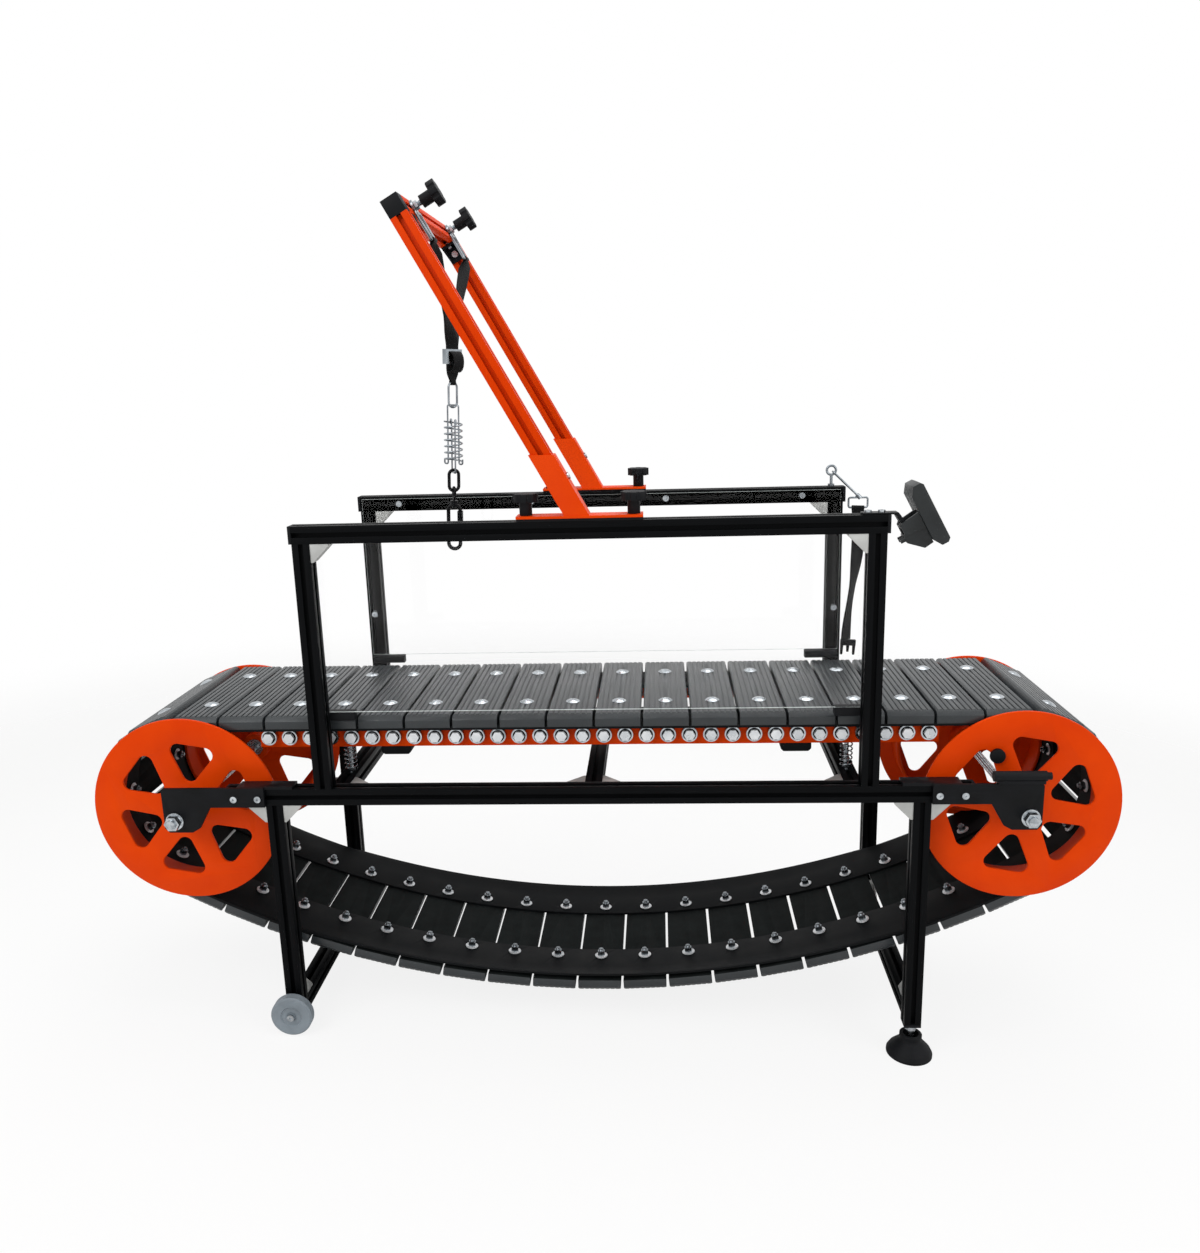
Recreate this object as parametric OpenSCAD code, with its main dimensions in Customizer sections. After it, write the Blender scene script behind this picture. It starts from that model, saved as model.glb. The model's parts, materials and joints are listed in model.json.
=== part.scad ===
// Manual slat-belt dog treadmill: slotted-bar frame, endless belt of slats on two drums,
// sprung bearing deck, clear side panes and a sliding harness arm with a tether.
// Millimetres. The machine is drawn level and then set on its slope: X along the belt,
// Y across it, Z up. The origin is on the floor, midway between the two axles.

/* [Frame] */
// Side of the square slotted bar
bar_w = 30; // [30:1:32]
// Frame width over the outer faces of the two sides
frame_w = 460; // [456:2:480]
// Length of the two lower side rails
side_len = 1300; // [1270:10:1340]
// Length of the two upper rails
top_len = 980; // [940:10:1020]
// Distance between the centre lines of the left and right legs
leg_span = 1130; // [1120:5:1150]
// Length of the legs
leg_len = 430; // [420:5:460]
// Length of the uprights
upright_len = 435; // [400:5:480]
// Distance from the centre bar to each outer cross bar
cross_bar_x = 450; // [420:5:455]
// Slope of the machine on a level floor, in degrees
incline = 2.6; // [2.4:0.1:3.2]

/* [Drums] */
// Distance between the two axles
axle_span = 1490; // [1480:5:1510]
// Depth of the axle centres below the top of the side rails
axle_drop = 56; // [52:1:60]
// Diameter of the axles
axle_d = 16; // [14:1:18]
// Outer radius of the wheel flanges
flange_r = 173; // [172:1:178]
// Radius of the rim that carries the belt strips
rim_r = 145; // [143:1:147]
// Thickness of the wheel flanges
flange_t = 6; // [5:0.5:7]
// Length of the rims behind the flanges
rim_len = 47; // [42:1:50]
// Number of windows in each wheel
window_n = 6; // [5:1:6]

/* [Belt] */
// Number of slats round the belt
slat_n = 47; // [46:1:48]
// Place of the first slat after the left drum, as a share of the pitch
slat_start = 0.33; // [0.1:0.01:0.9]
// Gap between neighbouring slats on the flat run
slat_gap = 5; // [4:0.5:7]
// Length of a slat across the machine
slat_len = 352; // [340:2:354]
// Thickness of a slat
slat_t = 23; // [21:1:24]
// Grooves along the top of a slat
groove_n = 7; // [5:1:8]
// Width of one rubber strip
strip_w = 104; // [100:2:108]
// Thickness of the rubber strips
strip_t = 4; // [3:0.5:5]
// Distance between the two rows of slat bolts
row_gauge = 192; // [186:2:196]
// Depth that the lower run hangs below the drums
sag = 200; // [180:5:205]

/* [Deck] */
// Outer diameter of the deck bearings
bearing_d = 28; // [26:1:29]
// Bearings along each side
bearing_n = 32; // [28:1:32]
// Distance between neighbouring bearings
bearing_pitch = 37.8; // [37:0.1:38]
// Height of the angle bars that carry the bearings
angle_h = 30; // [28:1:32]
// Coils in each deck spring
deck_spring_turns = 6; // [5:1:8]

/* [Panes] */
// Thickness of the clear panes
pane_t = 5; // [4:0.5:6]
// Height of the lower edge of the panes above the slats
pane_lift = 16; // [12:1:40]

/* [Harness arm] */
// Place of the arm along the rails, from the middle of the machine
arm_x = -8; // [-60:2:60]
// Lean of the posts away from upright, in degrees
arm_lean = 29; // [24:1:32]
// Length of the posts above the brackets
post_len = 539; // [480:5:560]
// Length of the bracket feet along the rails
foot_len = 208; // [200:2:220]
// Height of the bracket sleeves
sleeve_h = 99; // [80:1:110]
// Distance between the two strap rings across the machine
ring_gauge = 300; // [280:5:310]

/* [Tether] */
// Length of the webbing from the strap rings to the lower ring
strap_drop = 226; // [210:2:240]
// Length of the drawbar coil
coil_len = 76; // [70:1:84]
// Coils in the drawbar spring
coil_turns = 6.5; // [5.5:0.5:7.5]
// Length of the snap hook
hook_len = 82; // [76:1:90]

/* [Feet and wheels] */
// Radius of the transport wheels
wheel_r = 38; // [36:1:39]
// Width of the transport wheels
wheel_w = 20; // [16:1:22]
// Height of the transport wheel centres above the leg ends
wheel_up = 25; // [23:1:26]
// Radius of the levelling pads
pad_r = 41; // [38:1:44]
// Height of the levelling pads
pad_h = 40; // [38:1:41]

/* [Hidden] */
$fn = 48;

black = "#16181a";
orange = "#f04e0c";
steel = "#c9ced2";
cast_grey = "#b9b9b6";
slat_grey = "#4c5052";
rubber = "#1d1f20";
clear = [0.8, 0.85, 0.88, 0.35];

// Named clearances
fit_gap = 0.05;
run_gap = 0.3;
belt_gap = 0.2;

// Frame levels and places
half_bar = bar_w / 2;
side_y = frame_w / 2 - half_bar;
inner_y = side_y - half_bar;
outer_y = frame_w / 2;
side_bottom = leg_len;
side_top = leg_len + bar_w;
top_bottom = side_top + upright_len;
top_top = top_bottom + bar_w;
upright_x = top_len / 2 - half_bar;
leg_x = leg_span / 2;
leg_bar_z = 8;
cap_t = 5;

// Slotted bar section
slot_half = 4.1;
slot_lip = 2;
slot_room = 8;
slot_deep = 9;
slot_step = 5;
slot_floor = 4.5;
core_d = 8.2;

// Screws that hold in the slots
screw_d = 6;
screw_head_d = 12;
screw_head_h = 3.5;
nut_top = 2.1;
nut_t = 2.6;

// Corner gussets
gusset_s = 32;
gusset_w = 28;
gusset_wall = 4;
gusset_web = 3;

// Drums and axles
axle_x = axle_span / 2;
axle_z = side_top - axle_drop;
plate_t = 6;
plate_rise = 5;
plate_out = 20;
plate_low = 22;
plate_x0 = leg_x + half_bar;
fold_len = 100;
flange_in = slat_len / 2 + 3;
flange_out = flange_in + flange_t;
rim_t = 6;
hub_r = 28;
hub_len = 36;
race_d = 35;
race_w = 11;
nut_h = 13;
washer_t = 3;
axle_end = outer_y + plate_t + washer_t + nut_h + 4;

// Belt loop: a convex path with a flat top, two drum arcs and one hanging arc
strip_r = rim_r + run_gap;
loop_k = (axle_x * axle_x - sag * sag) / (2 * sag);
hang_r = sqrt(axle_x * axle_x + loop_k * loop_k);
hang_angle = atan2(axle_x, loop_k);
neutral_r = strip_r + strip_t / 2;
drum_arc = (180 - hang_angle) * PI / 180 * neutral_r;
hang_arc = 2 * hang_angle * PI / 180 * (hang_r + neutral_r);
loop_len = axle_span + 2 * drum_arc + hang_arc;
slat_pitch = loop_len / slat_n;
slat_w = slat_pitch - slat_gap;
slat_base = strip_r + strip_t + belt_gap;
slat_top = axle_z + slat_base + slat_t;
row_y = row_gauge / 2;
strip_y = slat_len / 2 - strip_w / 2;
slat_bolt_d = 8;
slat_head_d = 26;
slat_head_h = 4.5;
flange_nut_d = 24;
nut_gap = 0.9;

// Deck
deck_bearing_z = axle_z + strip_r - run_gap - bearing_d / 2;
bearing_w = 8;
bearing_out = slat_len / 2 - 7;
bearing_boss = 3;
angle_t = 5;
angle_out = bearing_out - bearing_w - bearing_boss;
angle_foot = 40;
angle_gap = 5.3;
angle_top = axle_z + strip_r - angle_gap;
angle_bottom = angle_top - angle_h;
spring_y = angle_out - angle_foot / 2 - 2;
stud_d = 8;
deck_spring_wire = 2.5;
deck_spring_r = 10.2;
deck_spring_len = angle_bottom - side_top - 2 * run_gap;

// Harness arm
pad_under = 5;
glide_gap = 0.05;
foot_t = 4;
foot_w = 40;
foot_top = top_top + pad_under + foot_t;
sleeve_w = 36;
sleeve_fit = 0.2;
post_x = arm_x - 4;
knob_gap_x = 89;
end_cube = bar_w;
ring_wire = 5;
ring_reach = 59;
arm_top_x = post_x - (post_len + end_cube / 2) * sin(arm_lean);
arm_top_z = foot_top + (post_len + end_cube / 2) * cos(arm_lean);
// Middle of the bar face that carries the strap rings, and the wire that the straps hang on
face_x = arm_top_x + half_bar * cos(arm_lean);
face_z = arm_top_z + half_bar * sin(arm_lean);
ring_lift = ring_wire / 2 + belt_gap;
wire_x = face_x + ring_lift * cos(arm_lean) + ring_reach * sin(arm_lean);
wire_z = face_z + ring_lift * sin(arm_lean) - ring_reach * cos(arm_lean);

// Tether, measured down from the strap wire
web_t = 1.6;
web_w = 25;
web_slab = 3.4;
loop_in = ring_wire / 2 + 0.5;
join_z = -160;
oval_wire = 4;
oval_half = 9;
oval_len = 44;
oval_turn = 45;
draw_wire = 3;
coil_wire = 3;
coil_r = 16;
draw_play = 0.9;
draw_half = coil_r - (coil_wire + draw_wire) / 2 - draw_play;
upper_turn = -25;
lower_turn = -65;
link_wire = 6;
link_half = 9;
link_len = 38;
eye_wire = 5;
eye_half = 6;
eye_len = 20;
hook_wire = 7;
hook_half = 11;
oval_top_z = -strap_drop;
oval_low_z = oval_top_z - oval_len;
upper_top_z = oval_low_z + (oval_wire + draw_wire) / 2 + 0.4;
coil_top_z = upper_top_z - 28;
coil_low_z = coil_top_z - coil_len;
lower_low_z = coil_low_z - 18;
link_top_z = lower_low_z + (draw_wire + link_wire) / 2 + 0.4;
link_low_z = link_top_z - link_len;
eye_top_z = link_low_z + (link_wire + eye_wire) / 2 + 0.4;
eye_low_z = eye_top_z - eye_len;
hook_top_z = eye_low_z - 12;

// The slope: floor height of the left wheels sets the lift of the whole machine
x_shift = axle_z * sin(incline);
z_lift = wheel_r + leg_x * sin(incline) - wheel_up * cos(incline);
function floor_x(x, z) = x * cos(incline) - z * sin(incline) + x_shift;
function floor_z(x, z) = x * sin(incline) + z * cos(incline) + z_lift;

// Levelling feet
ball_r = 10;
ball_h = 22;
stem_d = 12;
foot_drop = (floor_z(leg_x, 0) - ball_h) / cos(incline);
ball_x = floor_x(leg_x, -foot_drop);

// Display and safety strap
display_pivot_x = top_len / 2 + 28;
display_pivot_z = top_bottom + 10;
eye_x = top_len / 2 - 22;
eye_ring_z = top_top + 32;

echo(slat_pitch = slat_pitch);
echo(deck_spring_gap = coil_gap(deck_spring_r, deck_spring_wire, deck_spring_len, deck_spring_turns));
echo(tether_spring_gap = coil_gap(coil_r, coil_wire, coil_len, coil_turns));
assert(slat_w > slat_head_d, "slats must be wider than their bolt heads");

// Sets the level machine on its slope
module on_slope() {
    translate([x_shift, 0, z_lift]) rotate([0, -incline, 0]) children();
}

// The strap wire's place, with Z plumb
module at_wire() {
    translate([floor_x(wire_x, wire_z), 0, floor_z(wire_x, wire_z)]) children();
}

module both_sides() {
    children();
    mirror([0, 1, 0]) children();
}

module four_corners(x, y, z) {
    for (sx = [-1, 1], sy = [-1, 1]) translate([sx * x, sy * y, z]) children();
}

// One slot of the bar's section, on its upper side
module slot_2d() {
    polygon([
        [-slot_half, half_bar + 1], [-slot_half, half_bar - slot_lip],
        [-slot_room, half_bar - slot_lip], [-slot_room, half_bar - slot_step],
        [-slot_floor, half_bar - slot_deep], [slot_floor, half_bar - slot_deep],
        [slot_room, half_bar - slot_step], [slot_room, half_bar - slot_lip],
        [slot_half, half_bar - slot_lip], [slot_half, half_bar + 1]]);
}

// Slotted bar along Z, centred on its axis, standing on Z = 0
module slot_bar(len) {
    linear_extrude(len) difference() {
        square(bar_w, center = true);
        for (a = [0:90:270]) rotate(a) slot_2d();
        circle(d = core_d);
    }
}

module bar_along_x(len) {
    translate([-len / 2, 0, 0]) rotate([0, 90, 0]) slot_bar(len);
}

module bar_along_y(len) {
    translate([0, len / 2, 0]) rotate([90, 0, 0]) slot_bar(len);
}

// Button-head screw with its slot nut; the bar's face is Z = 0 and the head is above the grip
module slot_screw(grip) {
    translate([0, 0, -slot_deep + 1]) cylinder(d = screw_d, h = slot_deep - 1 + grip);
    translate([0, 0, grip]) difference() {
        cylinder(d = screw_head_d, h = screw_head_h);
        translate([0, 0, 1.5]) cylinder(d = 4.6, h = 3, $fn = 6);
    }
    slot_nut(screw_d);
}

// Nut in the slot below the face Z = 0
module slot_nut(bore) {
    difference() {
        translate([-6, -6.5, -nut_top - nut_t]) cube([12, 13, nut_t]);
        translate([0, 0, -slot_deep]) cylinder(d = bore + 2 * fit_gap, h = slot_deep);
    }
}

function unit(v) = v / norm(v);
function bend_at(p, i) =
    let (u = unit(p[i] - p[i - 1]), v = unit(p[i + 1] - p[i]))
    atan2(u[0] * v[1] - u[1] * v[0], u * v);

// Round wire in the XY plane along a list of points, with a bend of radius r at each corner
module bent_wire(p, r, d) {
    last = len(p) - 1;
    for (i = [0:last - 1]) {
        u = unit(p[i + 1] - p[i]);
        a = i > 0 ? r * tan(abs(bend_at(p, i)) / 2) : 0;
        b = i < last - 1 ? r * tan(abs(bend_at(p, i + 1)) / 2) : 0;
        heading = atan2(u[1], u[0]);
        translate(p[i] + a * u) rotate([0, 0, heading]) rotate([0, 90, 0])
            cylinder(d = d, h = norm(p[i + 1] - p[i]) - a - b, $fn = 24);
        if (i < last - 1) {
            t = bend_at(p, i + 1);
            translate(p[i + 1] - b * u + r * sign(t) * [-u[1], u[0]])
                rotate([0, 0, heading - 90 * sign(t) + min(t, 0)])
                rotate_extrude(angle = abs(t)) translate([r, 0]) circle(d = d, $fn = 24);
        }
    }
}

// Half ring in the XZ plane that bulges up
module half_ring(r, d) {
    rotate([90, 0, 0]) rotate_extrude(angle = 180) translate([r, 0]) circle(d = d, $fn = 24);
}

// Closed oval ring in the XZ plane, hanging from the middle of its top wire
module oval(half, len, d) {
    translate([0, 0, -half]) half_ring(half, d);
    translate([0, 0, half - len]) rotate([180, 0, 0]) half_ring(half, d);
    for (s = [-1, 1]) translate([s * half, 0, half - len]) cylinder(d = d, h = len - 2 * half, $fn = 24);
}

coil_rings = 12;

// Point of a coil at ring i, q from its axis
function coil_at(q, d, len, turns, i) =
    let (a = 360 * i / coil_rings)
    [q * cos(a), q * sin(a), d / 2 + (len - d) * i / floor(turns * coil_rings)];

// Least gap of a coil to itself, over points of the wire's middle near one turn apart
function coil_gap(r, d, len, turns) =
    let (last = floor(turns * coil_rings))
    min([for (i = [0:last - coil_rings], k = [coil_rings - 1:min(coil_rings + 1, last - i)])
        norm(coil_at(r, d, len, turns, i + k) - coil_at(r, d, len, turns, i))]) - d;

// Round-wire coil along Z from 0 to len, as one closed skin
module coil(r, d, len, turns) {
    sides = 6;
    last = floor(turns * coil_rings);
    skin = [for (i = [0:last], j = [0:sides - 1])
        let (b = 360 * j / sides)
        coil_at(r + d / 2 * cos(b), d, len, turns, i) + [0, 0, d / 2 * sin(b)]];
    walls = [for (i = [0:last - 1], j = [0:sides - 1], half = [0, 1])
        let (k = (j + 1) % sides, a = i * sides, b = a + sides)
        half == 0 ? [b + j, b + k, a + j] : [b + k, a + k, a + j]];
    near = [for (j = [0:sides - 1]) j];
    far = [for (j = [sides - 1:-1:0]) last * sides + j];
    polyhedron(skin, concat(walls, [near, far]));
}

// Places for the corner gussets: local X and Z run along the two faces
module at_gussets() {
    for (sx = [-1, 1], sy = [-1, 1]) {
        translate([sx * (upright_x - half_bar), sy * side_y, top_bottom])
            rotate([0, sx > 0 ? 180 : 90, 0]) children();
        for (d = [-1, 1]) translate([sx * leg_x + d * half_bar, sy * side_y, side_bottom])
            rotate([0, d > 0 ? 90 : 180, 0]) children();
        translate([sx * leg_x, sy * inner_y, leg_bar_z + bar_w]) rotate([0, 0, -90 * sy]) children();
    }
    for (x = [-cross_bar_x, 0, cross_bar_x], d = [-1, 1], sy = [-1, 1])
        translate([x + d * half_bar, sy * inner_y, side_top - half_bar])
            rotate([0, 0, d * sy > 0 ? 90 - 90 * d : -90 * sy]) rotate([90, 0, 0]) children();
}

module gusset() {
    difference() {
        translate([0, gusset_w / 2, 0]) rotate([90, 0, 0]) linear_extrude(gusset_w)
            polygon([[0, 0], [gusset_s, 0], [gusset_s, gusset_wall],
                [gusset_wall, gusset_s], [0, gusset_s]]);
        translate([0, gusset_w / 2 - gusset_web, 0]) rotate([90, 0, 0])
            linear_extrude(gusset_w - 2 * gusset_web)
            polygon([[gusset_wall, gusset_wall], [2 * gusset_s, gusset_wall],
                [gusset_wall, 2 * gusset_s]]);
        gusset_holes();
    }
}

module gusset_holes() {
    translate([gusset_s / 2 + 2, 0, -1]) cylinder(d = screw_d + 0.6, h = gusset_wall + 2);
    translate([-1, 0, gusset_s / 2 + 2]) rotate([0, 90, 0])
        cylinder(d = screw_d + 0.6, h = gusset_wall + 2);
}

module gusset_screws() {
    translate([gusset_s / 2 + 2, 0, 0]) slot_screw(gusset_wall);
    translate([0, 0, gusset_s / 2 + 2]) rotate([0, 90, 0]) slot_screw(gusset_wall);
}

module side_rails() {
    color(black) on_slope() both_sides()
        translate([0, side_y, side_top - half_bar]) bar_along_x(side_len);
}

module legs() {
    color(black) on_slope() four_corners(leg_x, side_y, 0) slot_bar(leg_len);
}

module uprights() {
    color(black) on_slope() four_corners(upright_x, side_y, side_top) slot_bar(upright_len);
}

module top_rails() {
    color(black) on_slope() both_sides()
        translate([0, side_y, top_top - half_bar]) bar_along_x(top_len);
}

module cross_bars() {
    color(black) on_slope() {
        for (x = [-cross_bar_x, 0, cross_bar_x])
            translate([x, 0, side_top - half_bar]) bar_along_y(2 * inner_y);
        for (s = [-1, 1]) translate([s * leg_x, 0, leg_bar_z + half_bar]) bar_along_y(2 * inner_y);
    }
}

module corner_gussets() {
    color(cast_grey) on_slope() at_gussets() gusset();
}

// Places of the pane screws on one inner side, as X and Z
pane_screw_at = concat(
    [for (i = [-1.5:1:1.5]) [i * 272, top_top - half_bar]],
    [for (s = [-1, 1]) [s * upright_x, side_top + 220]]);
plate_screw_x = [plate_x0 + 11, plate_x0 + 54];

module frame_screws() {
    color(steel) on_slope() {
        at_gussets() gusset_screws();
        both_sides() {
            for (s = [-1, 1], x = plate_screw_x)
                translate([s * x, outer_y, side_top - half_bar]) rotate([-90, 0, 0]) slot_screw(plate_t);
            for (p = pane_screw_at)
                translate([p[0], inner_y, p[1]]) rotate([90, 0, 0]) slot_screw(pane_t);
            translate([-leg_x, outer_y, wheel_up]) rotate([-90, 0, 0]) wheel_bolt();
        }
        for (x = bracket_screw_x) translate([x, -side_y, top_top]) slot_screw(bracket_t);
    }
}

wheel_gap = 5;
wheel_bolt_d = 8;
head_gap = 0.5;

// Wheel bolt with its spacer, held by a nut in the leg's slot
module wheel_bolt() {
    translate([0, 0, -slot_deep + 1]) cylinder(d = screw_d, h = slot_deep);
    cylinder(d = 14, h = wheel_gap - head_gap);
    cylinder(d = wheel_bolt_d, h = wheel_gap + wheel_w + 2 * head_gap);
    translate([0, 0, wheel_gap + wheel_w + head_gap]) difference() {
        cylinder(d = screw_head_d + 1, h = screw_head_h);
        translate([0, 0, 1.5]) cylinder(d = 5, h = screw_head_h, $fn = 6);
    }
    slot_nut(screw_d);
}

module bar_cap(hole) {
    difference() {
        translate([-half_bar, -half_bar, 0]) cube([bar_w, bar_w, cap_t]);
        translate([0, 0, -1]) cylinder(d = hole, h = cap_t + 2);
    }
}

module rail_end_caps() {
    color(black) on_slope() {
        for (s = [-1, 1], sy = [-1, 1]) {
            translate([s * top_len / 2, sy * side_y, top_top - half_bar]) rotate([0, s * 90, 0]) bar_cap(2);
            translate([s * side_len / 2, sy * side_y, side_top - half_bar])
                rotate([0, s * 90, 0]) bar_cap(2);
            translate([s * leg_x, sy * side_y, -cap_t]) bar_cap(s > 0 ? stem_d + 2 * fit_gap : 2);
        }
    }
}

// Outline of one axle plate, X outward from the middle of the machine
module plate_2d() {
    x1 = axle_x + plate_out;
    low = axle_z - plate_low;
    polygon([
        [plate_x0, side_bottom - 1], [plate_x0, side_top + plate_rise],
        [x1 - 3, side_top + plate_rise], [x1, side_top + plate_rise - 3],
        [x1, low + 8], [x1 - 8, low], [axle_x - plate_out - 10, low],
        [axle_x - plate_out - 24, low + 8], [axle_x - plate_out - 46, side_bottom - 1]]);
}

module axle_plates() {
    color(black) on_slope() both_sides() for (s = [-1, 1]) scale([s, 1, 1]) difference() {
        union() {
            translate([0, outer_y + plate_t, 0]) rotate([90, 0, 0]) linear_extrude(plate_t) plate_2d();
            translate([plate_x0 - fold_len / 2, inner_y, side_top]) cube([fold_len, bar_w, plate_rise]);
        }
        translate([axle_x, outer_y - 1, axle_z]) rotate([-90, 0, 0])
            cylinder(d = axle_d + 2 * fit_gap, h = plate_t + 2);
        for (x = plate_screw_x) translate([x, outer_y - 1, side_top - half_bar]) rotate([-90, 0, 0])
            cylinder(d = screw_d + 0.6, h = plate_t + 2);
    }
}

module axles() {
    color(steel) on_slope() for (s = [-1, 1])
        translate([s * axle_x, axle_end, axle_z]) rotate([90, 0, 0]) cylinder(d = axle_d, h = 2 * axle_end);
}

// Ring round a shaft, standing on Z = 0; six sides make a hexagon nut
module axis_ring(d, bore, h, sides) {
    difference() {
        cylinder(d = d, h = h, $fn = sides);
        translate([0, 0, -1]) cylinder(d = bore + 2 * fit_gap, h = h + 2);
    }
}

// Outer nut and washer, inner lock nut and the spacer that keeps the wheel off the plate
module axle_nuts() {
    nut_d = 27.7;
    spacer_z = flange_out + head_gap;
    color(steel) on_slope() both_sides() for (s = [-1, 1])
        translate([s * axle_x, 0, axle_z]) rotate([-90, 0, 0]) {
            translate([0, 0, outer_y + plate_t]) axis_ring(32, axle_d, washer_t, 48);
            translate([0, 0, outer_y + plate_t + washer_t]) axis_ring(nut_d, axle_d, nut_h, 6);
            translate([0, 0, outer_y - nut_h]) axis_ring(nut_d, axle_d, nut_h, 6);
            translate([0, 0, spacer_z]) axis_ring(axle_d + 6, axle_d, outer_y - nut_h - spacer_z, 48);
        }
}

pane_bottom = slat_top + pane_lift;

module acrylic_panes() {
    color(clear) on_slope() both_sides() difference() {
        translate([-top_len / 2 + 5, inner_y - pane_t, pane_bottom])
            cube([top_len - 10, pane_t, top_top - 5 - pane_bottom]);
        for (p = pane_screw_at) translate([p[0], inner_y + 1, p[1]]) rotate([90, 0, 0])
            cylinder(d = screw_d + 0.6, h = pane_t + 2);
    }
}

// Corner clips on the uprights that carry the lower corners of the panes
module pane_brackets() {
    clip_l = 65;
    clip_h = 16;
    clip_x = upright_x + 7 - clip_l / 2;
    cut = 5;
    front = slat_len / 2 + 4;
    low = pane_bottom - clip_h;
    color(black) on_slope() both_sides() for (s = [-1, 1])
        translate([s * clip_x - clip_l / 2, 0, 0]) rotate([90, 0, 90]) linear_extrude(clip_l)
            polygon([[front + cut, low], [inner_y, low], [inner_y, pane_bottom], [front, pane_bottom],
                [front, low + cut]]);
}

// Outline of the belt at a distance out from the drum centres: drum, hanging run, drum
drum_steps = 50;
hang_steps = 60;
function loop_points(r) = concat(
    [for (i = [0:drum_steps]) let (a = i * (180 - hang_angle) / drum_steps)
        [axle_x + r * sin(a), axle_z + r * cos(a)]],
    [for (i = [1:hang_steps - 1]) let (a = 180 - hang_angle + i * 2 * hang_angle / hang_steps)
        [(hang_r + r) * sin(a), axle_z + loop_k + (hang_r + r) * cos(a)]],
    [for (i = [0:drum_steps]) let (a = 180 + hang_angle + i * (180 - hang_angle) / drum_steps)
        [-axle_x + r * sin(a), axle_z + r * cos(a)]]);

// One endless rubber strip
module strip_loop() {
    translate([0, strip_w / 2, 0]) rotate([90, 0, 0]) linear_extrude(strip_w) difference() {
        polygon(loop_points(strip_r + strip_t));
        polygon(loop_points(strip_r));
    }
}

// Place on the loop at a run of s along the belt, as X, Z and the turn of the outward normal
function on_loop(s, r) =
    s < axle_span ? [s - axle_x, axle_z + r, 0] :
    s < axle_span + drum_arc ?
        let (a = (s - axle_span) / neutral_r * 180 / PI)
        [axle_x + r * sin(a), axle_z + r * cos(a), a] :
    s < axle_span + drum_arc + hang_arc ?
        let (a = 180 - hang_angle + (s - axle_span - drum_arc) / (hang_r + neutral_r) * 180 / PI)
        [(hang_r + r) * sin(a), axle_z + loop_k + (hang_r + r) * cos(a), a] :
    let (a = 180 + hang_angle + (s - axle_span - drum_arc - hang_arc) / neutral_r * 180 / PI)
    [-axle_x + r * sin(a), axle_z + r * cos(a), a];

// Draws its children once per slat, with Z outward from the belt
module at_slats(r) {
    for (i = [0:slat_n - 1]) {
        p = on_loop((i + slat_start) * slat_pitch, r);
        translate([p[0], 0, p[1]]) rotate([0, p[2], 0]) children();
    }
}

module belt_strips() {
    color(rubber) on_slope() for (s = [-1, 1]) difference() {
        translate([0, s * strip_y, 0]) strip_loop();
        at_slats(strip_r) translate([0, s * row_y, -3])
            cylinder(d = slat_bolt_d + 0.6, h = strip_t + 6, $fn = 24);
    }
}

// Board section across the belt run, with grooves along its top
module slat_2d() {
    edge = 3;
    groove_w = 3;
    groove_deep = 1.6;
    step = (slat_w - 2 * edge - 6) / groove_n;
    difference() {
        polygon([[-slat_w / 2, 0], [slat_w / 2, 0], [slat_w / 2, slat_t - edge],
            [slat_w / 2 - edge, slat_t], [-slat_w / 2 + edge, slat_t], [-slat_w / 2, slat_t - edge]]);
        for (i = [0:groove_n - 1])
            translate([(i - (groove_n - 1) / 2) * step - groove_w / 2, slat_t - groove_deep])
                square([groove_w, groove_deep + 1]);
    }
}

module slat() {
    end = 9;
    difference() {
        translate([0, slat_len / 2, 0]) rotate([90, 0, 0]) linear_extrude(slat_len) slat_2d();
        for (s = [-1, 1]) {
            translate([-slat_w, s * slat_len / 2, slat_t - end]) rotate([s > 0 ? 45 : -45, 0, 0])
                translate([0, s > 0 ? 0 : -40, 0]) cube([2 * slat_w, 40, 40]);
            translate([0, s * row_y, -1]) cylinder(d = slat_bolt_d + 0.6, h = slat_t + 2, $fn = 24);
        }
    }
}

module slats() {
    color(slat_grey) on_slope() at_slats(slat_base) slat();
}

// Domed bolt head over a slat, with its shank down through the strip
module slat_bolts() {
    dome_r = (pow(slat_head_d / 2, 2) + pow(slat_head_h, 2)) / (2 * slat_head_h);
    color(steel) on_slope() at_slats(slat_base) for (s = [-1, 1]) translate([0, s * row_y, 0]) {
        translate([0, 0, -strip_t - 13]) cylinder(d = slat_bolt_d, h = slat_t + strip_t + 13, $fn = 24);
        translate([0, 0, slat_t]) intersection() {
            translate([0, 0, slat_head_h - dome_r]) sphere(dome_r);
            cylinder(d = slat_head_d, h = slat_head_h);
        }
    }
}

module slat_nuts() {
    color(steel) on_slope() at_slats(strip_r - nut_gap) for (s = [-1, 1])
        translate([0, s * row_y, -8]) difference() {
            union() {
                cylinder(d = 15, h = 8, $fn = 6);
                translate([0, 0, 6]) cylinder(d = flange_nut_d, h = 2, $fn = 24);
            }
            translate([0, 0, -1]) cylinder(d = slat_bolt_d + 2 * fit_gap, h = 11, $fn = 24);
        }
}

// Studs that guide the sprung deck, with their lower and upper nuts
module spring_studs() {
    color(steel) on_slope() four_corners(cross_bar_x, spring_y, 0) {
        translate([0, 0, side_top - slot_deep + 1])
            cylinder(d = stud_d, h = angle_bottom + angle_t + 12 - side_top + slot_deep - 1);
        translate([0, 0, side_top + run_gap]) axis_ring(15, stud_d, 6, 6);
        translate([0, 0, angle_bottom + angle_t + run_gap]) axis_ring(15, stud_d, 7, 6);
        translate([0, 0, side_top]) slot_nut(stud_d);
    }
}

// Two deck springs on one side of the machine
module deck_springs(side) {
    color(steel) on_slope() both_sides() translate([side * cross_bar_x, spring_y, side_top + run_gap])
        coil(deck_spring_r, deck_spring_wire, deck_spring_len, deck_spring_turns);
}

module deck_springs_left() {
    deck_springs(-1);
}

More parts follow.
